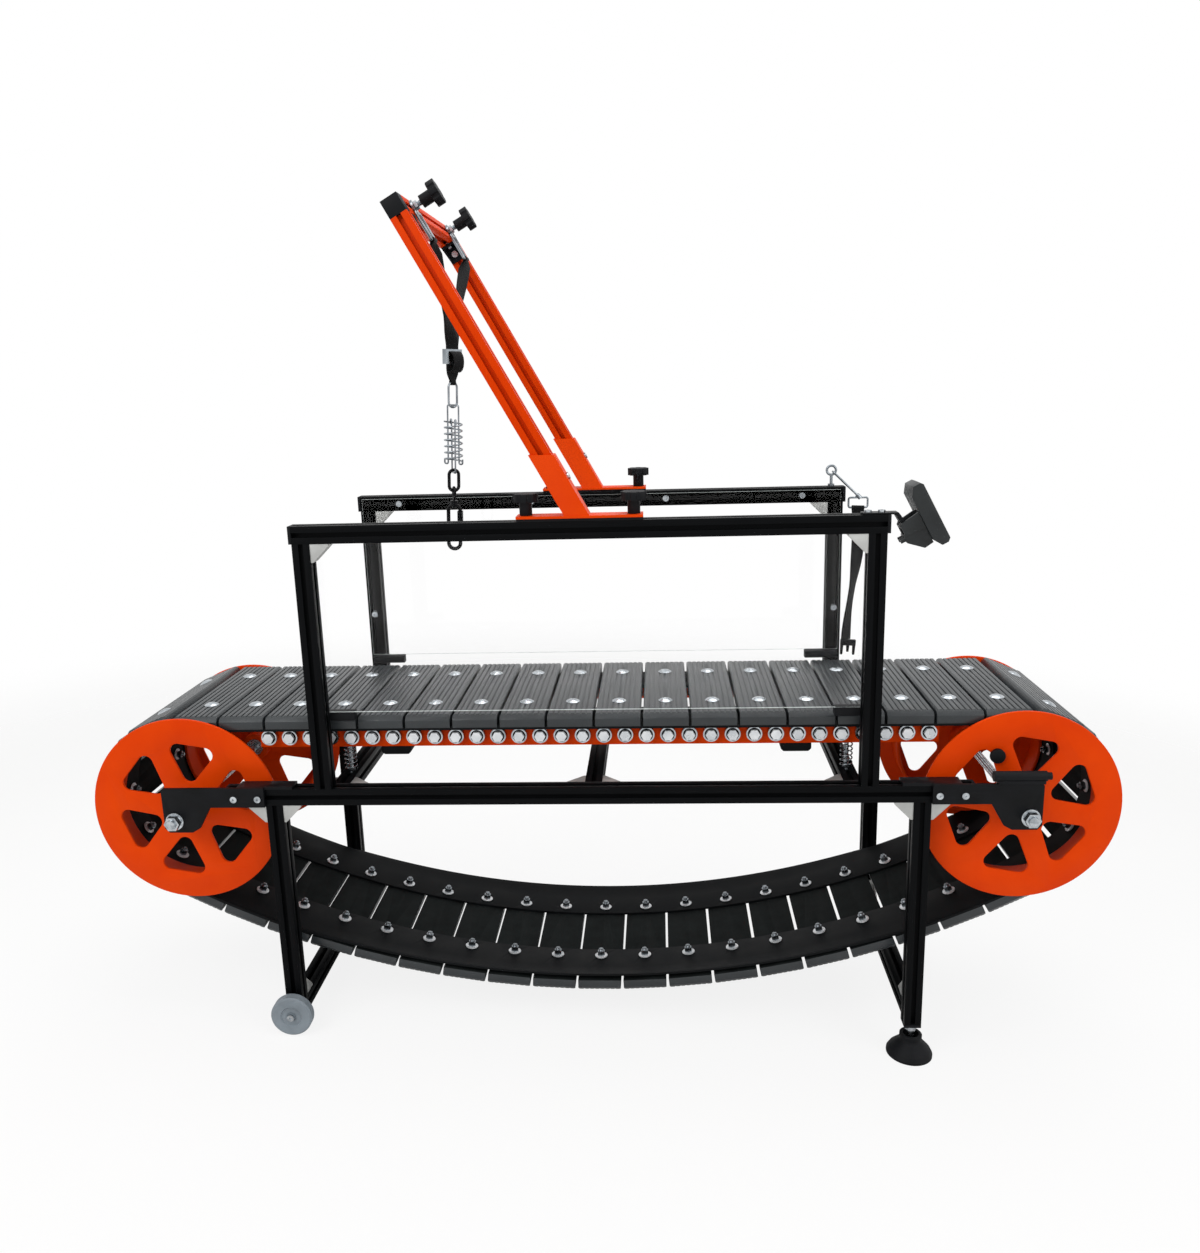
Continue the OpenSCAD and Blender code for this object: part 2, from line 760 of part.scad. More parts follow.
module deck_springs_right() {
    deck_springs(1);
}

eye_r = 9;
eye_d = 5;

module eye_bolt() {
    color(steel) on_slope() translate([eye_x, side_y, top_top]) {
        translate([0, 0, 1 - slot_deep])
            cylinder(d = screw_d, h = eye_ring_z - top_top - eye_r + slot_deep - 2);
        translate([0, 0, belt_gap]) axis_ring(13, screw_d, 5, 6);
        translate([0, 0, eye_ring_z - top_top]) rotate([90, 0, 0]) rotate_extrude()
            translate([eye_r, 0]) circle(d = eye_d, $fn = 24);
        slot_nut(screw_d);
    }
}

// Pickup for the belt speed, on the top edge of the front right axle plate
module speed_sensor() {
    base_l = 78;
    tube_r = 9;
    color(black) on_slope() translate([axle_x - 18, -outer_y - plate_t / 2, side_top + plate_rise]) {
        translate([-base_l / 2, -5, 0]) cube([base_l, 16, 6]);
        translate([-46, 3, 12]) rotate([0, 90, 0]) cylinder(r = tube_r, h = 88);
        translate([42, 3, 12]) rotate([0, 90, 0]) cylinder(r = tube_r - 2.5, h = 8);
    }
}

bracket_t = 3;
bracket_w = 24;
bracket_l = 68;
barrel_r = 7;
pivot_d = 5;
bracket_screw_x = [display_pivot_x - 58, display_pivot_x - 36];

// Strip on the rail that bends down to the barrel of the display's pivot
module display_bracket() {
    x = display_pivot_x;
    z = display_pivot_z;
    color(black) on_slope() translate([0, -side_y, 0]) difference() {
        union() {
            translate([0, bracket_w / 2, 0]) rotate([90, 0, 0]) linear_extrude(bracket_w)
                polygon([[x - bracket_l, top_top], [x - bracket_l, top_top + bracket_t],
                    [x - 11, top_top + bracket_t], [x + 4, z + 3], [x - 4, z + 1],
                    [x - 14, top_top - 3], [x - 18, top_top]]);
            translate([x, bracket_w / 2, z]) rotate([90, 0, 0]) cylinder(r = barrel_r, h = bracket_w);
        }
        translate([x, bracket_w, z]) rotate([90, 0, 0])
            cylinder(d = pivot_d + 2 * fit_gap, h = 2 * bracket_w);
        for (q = bracket_screw_x) translate([q, 0, top_top - 1])
            cylinder(d = screw_d + 0.6, h = bracket_t + 2);
    }
}

module foot_stems() {
    nut_l = 10;
    color(steel) on_slope() for (s = [-1, 1]) translate([leg_x, s * side_y, 0]) {
        translate([0, 0, -foot_drop]) sphere(ball_r);
        translate([0, 0, -foot_drop]) cylinder(d = stem_d, h = foot_drop - belt_gap);
        translate([0, 0, -belt_gap - 1]) cylinder(d = core_d - 2 * fit_gap, h = 30);
        translate([0, 0, -cap_t - nut_l]) axis_ring(22, stem_d, nut_l, 6);
    }
}

deck_half = (bearing_n - 1) / 2 * bearing_pitch + 20;
deck_bolt_d = 10;

// Draws its children at every bearing of one side, with Z outward across the machine
module at_bearings() {
    for (i = [0:bearing_n - 1])
        translate([(i - (bearing_n - 1) / 2) * bearing_pitch, angle_out, deck_bearing_z])
            rotate([-90, 0, 0]) children();
}

// Angle bars that carry the bearings and stand on the springs
module deck_rails() {
    color(orange) on_slope() both_sides() difference() {
        translate([-deck_half, 0, 0]) rotate([90, 0, 90]) linear_extrude(2 * deck_half)
            polygon([[angle_out, angle_bottom], [angle_out, angle_top], [angle_out - angle_t, angle_top],
                [angle_out - angle_t, angle_bottom + angle_t],
                [angle_out - angle_foot, angle_bottom + angle_t], [angle_out - angle_foot, angle_bottom]]);
        at_bearings() translate([0, 0, -angle_t - 1])
            cylinder(d = deck_bolt_d + 2 * fit_gap, h = angle_t + 2);
        for (s = [-1, 1]) translate([s * cross_bar_x, spring_y, angle_bottom - 1])
            cylinder(d = stud_d + 1, h = angle_t + 2);
    }
}

module deck_bearings() {
    bore_r = deck_bolt_d / 2 + fit_gap;
    ring_r = 8.5;
    race_r = bearing_d / 2 - 2.5;
    dip = 0.8;
    end = bearing_boss + bearing_w;
    color(steel) on_slope() both_sides() at_bearings() rotate_extrude()
        polygon([[bore_r, 0], [ring_r, 0], [ring_r, bearing_boss + dip], [race_r, bearing_boss + dip],
            [race_r, bearing_boss], [bearing_d / 2, bearing_boss], [bearing_d / 2, end], [race_r, end],
            [race_r, end - dip], [ring_r, end - dip], [ring_r, end], [bore_r, end]]);
}

// Hexagon bolts through the bearings, with their nuts behind the angle bars
module deck_bolts() {
    hex_d = 19.6;
    head_h = 6.4;
    lock_h = 8;
    end = bearing_boss + bearing_w;
    color(steel) on_slope() both_sides() at_bearings() {
        translate([0, 0, -angle_t - lock_h - 2]) cylinder(d = deck_bolt_d, h = angle_t + lock_h + 2 + end);
        translate([0, 0, end]) cylinder(d = hex_d, h = head_h, $fn = 6);
        translate([0, 0, -angle_t - lock_h]) axis_ring(hex_d, deck_bolt_d, lock_h, 6);
    }
}

// Rubber blocks that stop the deck on its way down
module deck_stops() {
    stop_l = 54;
    stop_h = 16;
    stop_x = cross_bar_x - 92;
    color(rubber) on_slope() both_sides() for (s = [-1, 1])
        translate([s * stop_x, angle_out, angle_bottom]) rotate([90, 0, 0]) linear_extrude(angle_foot)
            polygon([[-stop_l / 2, 0], [-stop_l / 2, -stop_h + 5], [-stop_l / 2 + 5, -stop_h],
                [stop_l / 2 - 5, -stop_h], [stop_l / 2, -stop_h + 5], [stop_l / 2, 0]]);
}

window_tip_r = 69;
window_base_r = 110;
window_half = 25;
window_round = 14;
window_turn = 100;
function side_out(a, b) = let (u = unit(b - a)) window_round * [u[1], -u[0]];

// Rounded triangle window, with its tip toward the axle
module window_2d() {
    tip = [window_tip_r, 0];
    right = [window_base_r, -window_half];
    left = [window_base_r, window_half];
    for (c = [tip, right, left]) translate(c) circle(window_round);
    polygon([tip + side_out(tip, right), right + side_out(tip, right), right + side_out(right, left),
        left + side_out(right, left), left + side_out(left, tip), tip + side_out(left, tip)]);
}

// Spoked wheel on the rear side, with Z outward: flange, rim and bearing hub
module drum_wheel() {
    difference() {
        union() {
            translate([0, 0, flange_in]) cylinder(r = flange_r, h = flange_t, $fn = 96);
            translate([0, 0, flange_in - rim_len]) difference() {
                cylinder(r = rim_r, h = rim_len, $fn = 96);
                translate([0, 0, -1]) cylinder(r = rim_r - rim_t, h = rim_len + 1, $fn = 96);
            }
            translate([0, 0, flange_out - hub_len]) cylinder(r = hub_r, h = hub_len);
        }
        translate([0, 0, flange_out - hub_len - 1]) cylinder(d = axle_d + 8, h = hub_len + 2);
        for (z = [flange_out - hub_len - 1, flange_out - race_w])
            translate([0, 0, z]) cylinder(d = race_d + 2 * fit_gap, h = race_w + 1);
        for (i = [0:window_n - 1]) rotate([0, 0, window_turn + i * 360 / window_n])
            translate([0, 0, flange_in - 1]) linear_extrude(flange_t + 2) window_2d();
    }
}

module drum_wheels(side) {
    color(orange) on_slope() both_sides()
        translate([side * axle_x, 0, axle_z]) rotate([-90, 0, 0]) drum_wheel();
}

// Two ball bearings in each hub
module drum_bearings(side) {
    bore_r = axle_d / 2 + fit_gap;
    dip = 0.8;
    color(steel) on_slope() both_sides() translate([side * axle_x, 0, axle_z]) rotate([-90, 0, 0])
        for (z = [flange_out - hub_len, flange_out - race_w]) translate([0, 0, z]) rotate_extrude()
            polygon([[bore_r, 0], [bore_r + 3, 0], [bore_r + 3, dip], [race_d / 2 - 3, dip],
                [race_d / 2 - 3, 0], [race_d / 2, 0], [race_d / 2, race_w], [race_d / 2 - 3, race_w],
                [race_d / 2 - 3, race_w - dip], [bore_r + 3, race_w - dip], [bore_r + 3, race_w],
                [bore_r, race_w]]);
}

module drum_wheels_left() {
    drum_wheels(-1);
}

module drum_bearings_left() {
    drum_bearings(-1);
}

module drum_wheels_right() {
    drum_wheels(1);
}

module drum_bearings_right() {
    drum_bearings(1);
}

// Magnet on the outer face of the front right wheel, read by the pickup
module speed_magnet() {
    color(black) on_slope() translate([axle_x - 46, -flange_out, axle_z + 94]) rotate([90, 0, 0])
        cylinder(d = 26, h = 8);
}

// One post's frame: Z up along the post, X square to its right face
module at_post() {
    translate([post_x, side_y, foot_top]) rotate([0, -arm_lean, 0]) children();
}

// The cross bar's face frame: X out of the face, Z up along the posts
module at_face(y) {
    translate([face_x, y, face_z]) rotate([0, -arm_lean, 0]) children();
}

sleeve_in = bar_w + 2 * sleeve_fit;
sleeve_screw_z = 62;
sleeve_cut = 60;

module arm_posts() {
    color(orange) on_slope() both_sides() difference() {
        at_post() translate([0, 0, -sleeve_cut]) slot_bar(post_len + sleeve_cut);
        translate([post_x - 150, side_y - bar_w, foot_top + belt_gap - 2 * sleeve_cut])
            cube([300, 2 * bar_w, 2 * sleeve_cut]);
    }
}

module arm_cross_bar() {
    color(orange) on_slope() translate([arm_top_x, 0, arm_top_z]) rotate([0, -arm_lean, 0])
        bar_along_y(2 * inner_y);
}

// Foot plates on the rails, each with a level-cut sleeve for its post
module arm_brackets() {
    color(orange) on_slope() both_sides() difference() {
        union() {
            translate([arm_x - foot_len / 2, side_y - foot_w / 2, foot_top - foot_t])
                cube([foot_len, foot_w, foot_t]);
            intersection() {
                at_post() difference() {
                    translate([-sleeve_w / 2, -sleeve_w / 2, -sleeve_cut])
                        cube([sleeve_w, sleeve_w, 2 * sleeve_h + sleeve_cut]);
                    translate([-sleeve_in / 2, -sleeve_in / 2, -sleeve_cut - 1])
                        cube([sleeve_in, sleeve_in, 2 * sleeve_h + sleeve_cut + 2]);
                }
                translate([post_x - 200, side_y - foot_w, foot_top - foot_t / 2])
                    cube([400, 2 * foot_w, sleeve_h + foot_t / 2]);
            }
        }
        for (s = [-1, 1]) translate([arm_x + s * knob_gap_x, side_y, foot_top - foot_t - 1])
            cylinder(d = stud_d + 1, h = foot_t + 2);
        at_post() translate([half_bar, 0, sleeve_screw_z]) rotate([0, 90, 0])
            cylinder(d = screw_d + 0.6, h = bar_w);
    }
}

// End cubes that join the posts to the cross bar, and the pads under the foot plates
module arm_caps() {
    color(black) on_slope() both_sides() {
        at_post() translate([-half_bar, -half_bar, post_len]) cube([bar_w, bar_w, end_cube]);
        difference() {
            translate([arm_x - foot_len / 2, inner_y, top_top + glide_gap])
                cube([foot_len, bar_w, pad_under - glide_gap]);
            for (s = [-1, 1]) translate([arm_x + s * knob_gap_x, side_y, top_top - 1])
                cylinder(d = stud_d + 1, h = pad_under + 2);
        }
    }
}

// Corner under the cross bar beside one post: X down the post, Z along the bar
module at_arm_corner() {
    at_post() translate([0, -half_bar, post_len]) rotate([0, 0, -90]) rotate([0, 90, 0]) children();
}

// Screws and slot nuts that ride with the arm
module arm_screws() {
    color(steel) on_slope() {
        both_sides() {
            at_arm_corner() gusset_screws();
            at_post() translate([half_bar, 0, sleeve_screw_z]) rotate([0, 90, 0])
                slot_screw((sleeve_w - bar_w) / 2);
            for (s = [-1, 1]) translate([arm_x + s * knob_gap_x, side_y, top_top]) slot_nut(stud_d);
        }
        for (s = [-1, 1]) at_face(s * ring_gauge / 2) rotate([0, 90, 0]) slot_nut(stud_d);
    }
}

module arm_gussets() {
    color(black) on_slope() both_sides() at_arm_corner() gusset();
}

ring_eye_r = 9;
ring_half = 17;
ring_bend = 4;

// Wire rings under the top knobs: a flat eye round the stud and a square loop for the strap
module strap_rings() {
    high = -ring_eye_r - 2;
    flat = ring_wire - 1;
    color(steel) on_slope() for (s = [-1, 1]) at_face(s * ring_gauge / 2) translate([ring_lift, 0, 0])
        rotate([90, 0, 90]) {
            translate([0, 0, -flat / 2])
                axis_ring(2 * ring_eye_r + ring_wire, 2 * ring_eye_r - ring_wire, flat, 48);
            bent_wire([[0, high], [ring_half, high], [ring_half, -ring_reach], [-ring_half, -ring_reach],
                [-ring_half, high], [0, high]], ring_bend, ring_wire);
        }
}

knob_r = 21;
knob_h = 14;
knob_neck_d = 21;
knob_lobes = 8;

// Lobed knob on a stud: the neck starts at base and the stud goes down past Z = 0
module knob(base, neck_h, stud_low) {
    color(black) {
        translate([0, 0, -stud_low]) cylinder(d = stud_d, h = stud_low + base + 1);
        translate([0, 0, base]) cylinder(d = knob_neck_d, h = neck_h);
        translate([0, 0, base + neck_h]) difference() {
            cylinder(r = knob_r, h = knob_h);
            for (i = [0:knob_lobes - 1]) rotate([0, 0, (i + 0.5) * 360 / knob_lobes])
                translate([knob_r + 2.5, 0, -1]) cylinder(r = 5, h = knob_h + 2);
        }
    }
}

base_neck = 22;
top_neck = 20;
top_stud = 12;

module base_knob(sx, sy) {
    on_slope() translate([arm_x + sx * knob_gap_x, sy * side_y, foot_top])
        knob(belt_gap, base_neck, foot_t + pad_under + nut_top + nut_t + 2);
}

module top_knob(s) {
    low = ring_wire + 2 * belt_gap;
    on_slope() at_face(s * ring_gauge / 2) rotate([0, 90, 0]) {
        knob(low + top_stud, top_neck, nut_top + nut_t + 2);
        color(black) translate([0, 0, low]) cylinder(d = 15, h = 5, $fn = 6);
    }
}

module knob_front_left() {
    base_knob(-1, -1);
}

module knob_front_right() {
    base_knob(1, -1);
}

module knob_rear_left() {
    base_knob(-1, 1);
}

module knob_rear_right() {
    base_knob(1, 1);
}

module knob_top_front() {
    top_knob(-1);
}

module knob_top_rear() {
    top_knob(1);
}

// Loop of webbing round a wire along Y
module web_loop(inside, width) {
    rotate([90, 0, 0]) translate([0, 0, -width / 2]) difference() {
        cylinder(r = inside + web_t, h = width);
        translate([0, 0, -1]) cylinder(r = inside, h = width + 2);
    }
}

oval_loop_in = 3.6;
oval_loop_w = 9;

// Y-shaped webbing: a loop on each strap ring, and one round the oval ring below
module tether_strap() {
    g = ring_gauge / 2;
    top = -loop_in - web_t / 4;
    low = oval_top_z + oval_loop_in + web_t / 4;
    wide = web_w / 2;
    color(black) at_wire() {
        for (s = [-1, 1]) {
            translate([0, s * g, 0]) web_loop(loop_in, web_w);
            translate([-web_slab / 2, 0, 0]) rotate([90, 0, 90]) linear_extrude(web_slab)
                polygon([[s * (g + wide), top], [s * (g - wide), top], [-s * wide, join_z],
                    [s * wide, join_z]]);
        }
        rotate([0, 0, oval_turn]) {
            translate([0, web_slab / 2, 0]) rotate([90, 0, 0]) linear_extrude(web_slab)
                polygon([[-wide, join_z + 6], [wide, join_z + 6], [wide, join_z - 36],
                    [oval_loop_w / 2, low], [-oval_loop_w / 2, low], [-wide, join_z - 36]]);
            translate([0, 0, oval_top_z]) rotate([0, 0, 90]) web_loop(oval_loop_in, oval_loop_w);
        }
    }
}

keeper_h = 26;
keeper_rim = 4;

// Flat slide on the webbing, the oval ring and the upper wire of the drawbar
module tether_fittings() {
    color(steel) at_wire() {
        rotate([0, 0, oval_turn]) {
            translate([0, 0, join_z - 8 - keeper_h]) difference() {
                linear_extrude(keeper_h) difference() {
                    square([web_w + 9, 12], center = true);
                    square([web_w + 2, web_slab + 2], center = true);
                }
                translate([0, 0, keeper_h / 2])
                    cube([web_w - 2, 2 * web_w, keeper_h - 2 * keeper_rim], center = true);
            }
            translate([0, 0, oval_top_z]) oval(oval_half, oval_len, oval_wire);
        }
        rotate([0, 0, upper_turn]) drawbar_wire(upper_top_z, coil_low_z, -1);
    }
}

draw_bend = 3.2;
draw_catch = 2;
draw_tip = 7;
draw_reach = coil_r + (coil_wire + draw_wire) / 2 + draw_play;

// One drawbar wire: a closed end, two legs through the coil, and a catch past the coil's far end
module drawbar_wire(closed_z, coil_z, way) {
    far = coil_z + way * draw_catch;
    tip = coil_z - way * draw_tip;
    rotate([90, 0, 0]) bent_wire([[-draw_reach, tip], [-draw_reach, far], [-draw_half, far],
        [-draw_half, closed_z], [draw_half, closed_z], [draw_half, far], [draw_reach, far],
        [draw_reach, tip]], draw_bend, draw_wire);
}

module tether_spring() {
    color(steel) at_wire() translate([0, 0, coil_low_z]) coil(coil_r, coil_wire, coil_len, coil_turns);
}

module drawbar_pull() {
    color(steel) at_wire() rotate([0, 0, lower_turn]) drawbar_wire(lower_low_z, coil_top_z, 1);
}

swivel_d = 4.4;
swivel_head = 9;
collar_d = 15;
collar_h = 11;

// Chain link, and the eye with the pin that the snap hook turns on
module swivel_link() {
    arch = sqrt(pow(hook_half - hook_wire / 2, 2) - pow(swivel_head / 2, 2));
    pin_low = hook_top_z - hook_half + arch - run_gap;
    color(black) at_wire() {
        rotate([0, 0, lower_turn + 90]) translate([0, 0, link_top_z]) oval(link_half, link_len, link_wire);
        rotate([0, 0, lower_turn]) translate([0, 0, eye_top_z]) oval(eye_half, eye_len, eye_wire);
        translate([0, 0, pin_low - 1]) cylinder(d = swivel_d, h = eye_low_z - pin_low + 1);
        translate([0, 0, pin_low - 3]) cylinder(d = swivel_head, h = 3);
    }
}

gate_top = hook_top_z - 26;
gate_low = hook_top_z - hook_len + 18;
gate_pin_d = 2.5;
cheek_y = 3.9;
cheek_t = 1.6;
gate_block = 9;

// Snap hook body in the XZ plane, open on its right side
module snap_hook() {
    upper = hook_top_z - hook_half;
    lower = hook_top_z - hook_len + hook_half;
    color(black) at_wire() {
        difference() {
            union() {
                translate([0, 0, upper]) half_ring(hook_half, hook_wire);
                translate([0, 0, hook_top_z - 3]) cylinder(d = collar_d, h = collar_h);
            }
            translate([0, 0, hook_top_z - 10]) cylinder(d = swivel_d + 2 * fit_gap, h = 30);
        }
        translate([0, 0, lower]) rotate([180, 0, 0]) half_ring(hook_half, hook_wire);
        translate([-hook_half, 0, lower]) cylinder(d = hook_wire, h = upper - lower, $fn = 24);
        translate([hook_half, 0, lower]) cylinder(d = hook_wire, h = gate_low - head_gap - lower, $fn = 24);
        translate([hook_half - gate_block / 2, -cheek_y - cheek_t, gate_top + 5])
            cube([gate_block, 2 * (cheek_y + cheek_t), upper - gate_top - 5]);
        for (y = [-cheek_y - cheek_t, cheek_y]) translate([hook_half - gate_block / 2, y, gate_top - 5])
            cube([gate_block, cheek_t, 10]);
        translate([hook_half, cheek_y + cheek_t / 2, gate_top]) rotate([90, 0, 0])
            cylinder(d = gate_pin_d, h = 2 * cheek_y + cheek_t, $fn = 24);
    }
}

// Sprung gate on the pin between the cheeks
module snap_gate() {
    eye_w = 2 * cheek_y - 2 * run_gap;
    color(steel) at_wire() translate([hook_half, 0, 0]) difference() {
        union() {
            translate([0, eye_w / 2, gate_top]) rotate([90, 0, 0]) cylinder(r = 4, h = eye_w);
            translate([0, 0, gate_low]) cylinder(d = 5, h = gate_top - gate_low - 2);
        }
        translate([0, eye_w, gate_top]) rotate([90, 0, 0])
            cylinder(d = gate_pin_d + 2 * fit_gap, h = 2 * eye_w, $fn = 24);
    }
}

// Transport wheel with its bearing, Z outward from the leg
module transport_wheel(side) {
    bore_r = wheel_bolt_d / 2 + fit_gap;
    race_r = 11;
    edge = 3;
    dish = 2.5;
    color(cast_grey) on_slope() translate([-leg_x, side * (outer_y + wheel_gap), wheel_up])
        rotate([-90 * side, 0, 0]) {
            rotate_extrude() polygon([[race_r + fit_gap, 0], [wheel_r - edge, 0], [wheel_r, edge],
                [wheel_r, wheel_w - edge], [wheel_r - edge, wheel_w], [race_r + 9, wheel_w],
                [race_r + 7, wheel_w - dish], [race_r + fit_gap, wheel_w - dish]]);
            rotate_extrude() polygon([[bore_r, 0], [race_r, 0], [race_r, wheel_w - dish],
                [race_r - 2, wheel_w - dish], [race_r - 2, wheel_w - dish - 1],
                [bore_r + 2, wheel_w - dish - 1], [bore_r + 2, wheel_w], [bore_r, wheel_w]]);
        }
}

module transport_wheel_front() {
    transport_wheel(-1);
}

module transport_wheel_rear() {
    transport_wheel(1);
}

// Bell-shaped pad that stands level under the ball of its stem
module foot_pad(side) {
    neck_r = 18;
    collar_r = 20;
    mouth_r = 9;
    cup_r = 14;
    color(black) translate([ball_x, side * side_y, 0]) difference() {
        rotate_extrude() polygon([[0, 0], [pad_r, 0], [pad_r, 4], [pad_r - 4, 11], [pad_r - 13, 20],
            [neck_r + 2, 27], [neck_r, pad_h - 8], [collar_r, pad_h - 7], [collar_r, pad_h - 1],
            [collar_r - 1, pad_h], [0, pad_h]]);
        translate([0, 0, ball_h]) sphere(ball_r + run_gap);
        translate([0, 0, ball_h]) cylinder(r = mouth_r, h = pad_h);
        translate([0, 0, ball_h + 9]) cylinder(r = cup_r, h = pad_h);
    }
}

module foot_pad_front() {
    foot_pad(-1);
}

module foot_pad_rear() {
    foot_pad(1);
}

display_tilt = 28;
display_w = 60;
display_h = 106;
display_t = 25;
display_back = 27;
ear_t = 4;

// Display case on two ears and a pin through the bracket's barrel; X is out of its screen
module display_head() {
    ear_y = bracket_w / 2 + head_gap;
    pin_l = 2 * ear_y + ear_t;
    high = display_h / 2;
    back = display_back + 1;
    color(black) on_slope() translate([display_pivot_x, -side_y, display_pivot_z])
        rotate([0, -display_tilt, 0]) {
            translate([display_back, 0, 2]) difference() {
                translate([0, display_w / 2, 0]) rotate([90, 0, 0]) linear_extrude(display_w)
                    polygon([[0, 14 - high], [0, high - 14], [9, high], [display_t - 4, high],
                        [display_t, high - 4], [display_t, 5 - high], [display_t - 5, -high], [9, -high]]);
                translate([display_t - 1.5, 6 - display_w / 2, 28 - high])
                    cube([3, display_w - 12, display_h - 36]);
                for (s = [-1, 1]) translate([display_t - 1, s * 14, 16 - high]) rotate([0, 90, 0])
                    cylinder(d = 12, h = 3);
            }
            for (s = [-1, 1]) translate([0, s * (ear_y + ear_t / 2) + ear_t / 2, 0]) rotate([90, 0, 0])
                linear_extrude(ear_t) polygon([[-7, -14], [-7, 4], [-3, 8], [back, 12], [back, -16]]);
            translate([0, pin_l / 2, 0]) rotate([90, 0, 0]) linear_extrude(pin_l)
                polygon([[-9, -13], [9, -13], [back, -10], [back, -44], [12, -46], [-9, -26]]);
            for (s = [-1, 1]) translate([-8, s * 7, -19]) rotate([0, -90, 0]) cylinder(d = 9, h = 9);
            translate([0, pin_l / 2, 0]) rotate([90, 0, 0]) cylinder(d = pivot_d, h = pin_l);
        }
}

hook_dip = 44;
clip_wire = 4;
clip_half = 7;
clip_len = 72;
clip_from = eye_r - (eye_d + clip_wire) / 2 - 0.4;
loop_half = 19;
loop_h = 20;
// Middle of the webbing loop's top bar, in the level machine
clip_end = clip_from + clip_len;
loop_x = eye_x + clip_end * cos(hook_dip);
loop_z = eye_ring_z - clip_end * sin(hook_dip) - 3;
strap_x = floor_x(loop_x, loop_z - loop_h);
strap_z = floor_z(loop_x, loop_z - loop_h);

// Clip on the eye bolt, with the square loop that the safety strap hangs on
module safety_hook() {
    color(steel) on_slope() {
        translate([eye_x, side_y, eye_ring_z]) rotate([0, hook_dip, 0]) translate([clip_from, 0, 0])
            rotate([0, -90, 0]) rotate([0, 0, 90]) oval(clip_half, clip_len, clip_wire);
        translate([loop_x, side_y, loop_z]) rotate([90, 0, 0])
            bent_wire([[0, 0], [loop_half, 0], [loop_half, -loop_h], [-loop_half, -loop_h], [-loop_half, 0],
                [0, 0]], 4, clip_wire);
        translate([eye_x, side_y, eye_ring_z]) rotate([0, hook_dip, 0]) translate([clip_end - 4, 0, 0])
            rotate([0, 90, 0]) cylinder(d = 9, h = 10);
    }
}

safety_len = 275;

// Webbing that hangs plumb from the loop, with a buckle at its end
module safety_strap() {
    inside = clip_wire / 2 + 0.5;
    wide = web_w / 2;
    color(black) translate([strap_x, side_y, strap_z]) {
        rotate([0, 0, 90]) web_loop(inside, web_w);
        translate([-wide, -1.2, -safety_len]) cube([web_w, 2.4, safety_len - inside - web_t / 4]);
        translate([-wide - 3, -5, -safety_len - 30]) cube([web_w + 6, 10, 34]);
    }
}

side_rails();
legs();
uprights();
top_rails();
cross_bars();
corner_gussets();
frame_screws();
rail_end_caps();
axle_plates();
axles();
axle_nuts();
acrylic_panes();
pane_brackets();
belt_strips();
slats();
slat_bolts();
slat_nuts();
spring_studs();
deck_springs_left();
deck_springs_right();
eye_bolt();
speed_sensor();
display_bracket();
foot_stems();
deck_rails();
deck_bearings();
deck_bolts();
deck_stops();
drum_wheels_left();
drum_bearings_left();
drum_wheels_right();
drum_bearings_right();
speed_magnet();
arm_posts();
arm_cross_bar();
arm_brackets();
arm_caps();
arm_screws();
arm_gussets();
strap_rings();
knob_front_left();
knob_front_right();
knob_rear_left();
knob_rear_right();
knob_top_front();
knob_top_rear();
tether_strap();
tether_fittings();
tether_spring();
drawbar_pull();
swivel_link();
snap_hook();
snap_gate();
transport_wheel_front();
transport_wheel_rear();
foot_pad_front();
foot_pad_rear();
display_head();
safety_strap();
safety_hook();
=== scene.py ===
# %% [markdown]
# # A self-powered dog treadmill
#
# The dog runs on a loop of grooved slats that turns on two spoked drums. Slotted bars carry the drums,
# clear panes close the sides and a leaning orange arm holds the harness line.
# The rigid solids come in at their real size and place, in metres. This file gives them their finishes and
# adds the soft, wound and small pieces that solids don't show well. Sizes of pieces are named in millimetres.

# %% Load the solids
import json
from math import atan2, cos, hypot, pi, radians, sin

import bmesh
import bpy
from mathutils import Matrix, Vector


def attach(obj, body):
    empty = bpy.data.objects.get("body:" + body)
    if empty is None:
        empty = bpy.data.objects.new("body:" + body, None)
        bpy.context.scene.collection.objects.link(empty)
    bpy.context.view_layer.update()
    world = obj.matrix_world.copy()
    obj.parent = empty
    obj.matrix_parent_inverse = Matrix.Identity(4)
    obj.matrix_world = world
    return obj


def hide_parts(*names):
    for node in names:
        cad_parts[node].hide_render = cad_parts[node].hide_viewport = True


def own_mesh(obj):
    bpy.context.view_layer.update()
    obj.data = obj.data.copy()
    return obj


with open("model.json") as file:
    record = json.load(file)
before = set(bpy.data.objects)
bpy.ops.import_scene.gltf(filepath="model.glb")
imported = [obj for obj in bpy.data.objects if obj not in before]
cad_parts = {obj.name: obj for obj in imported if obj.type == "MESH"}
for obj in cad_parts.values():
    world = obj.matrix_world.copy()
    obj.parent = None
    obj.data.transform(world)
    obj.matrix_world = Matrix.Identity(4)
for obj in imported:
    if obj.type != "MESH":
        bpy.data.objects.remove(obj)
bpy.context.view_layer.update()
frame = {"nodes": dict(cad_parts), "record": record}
nodes = frame["nodes"]
bpy.ops.object.select_all(action="DESELECT")

# %% [markdown]
# ## Camera
#
# The camera stands in front of the long side, a little right of the middle and above the running deck, and
# looks slightly down. Its place was worked out from the straight edges of the frame bars, so it is written
# as a point in metres, a turn to the left, a tilt down and a small roll.

# %% Camera
eye = Vector((0.0882, -1.9611, 1.2021))
turn, tilt, roll = -0.04783, 0.23548, 0.01872
focal_px, image_w, sensor_w = 1067.8, 1200, 36

forward = Vector((sin(turn) * cos(tilt), cos(turn) * cos(tilt), -sin(tilt)))
level = Vector((cos(turn), -sin(turn), 0))
above = level.cross(forward)
right = level * cos(roll) + above * sin(roll)
up = above * cos(roll) - level * sin(roll)

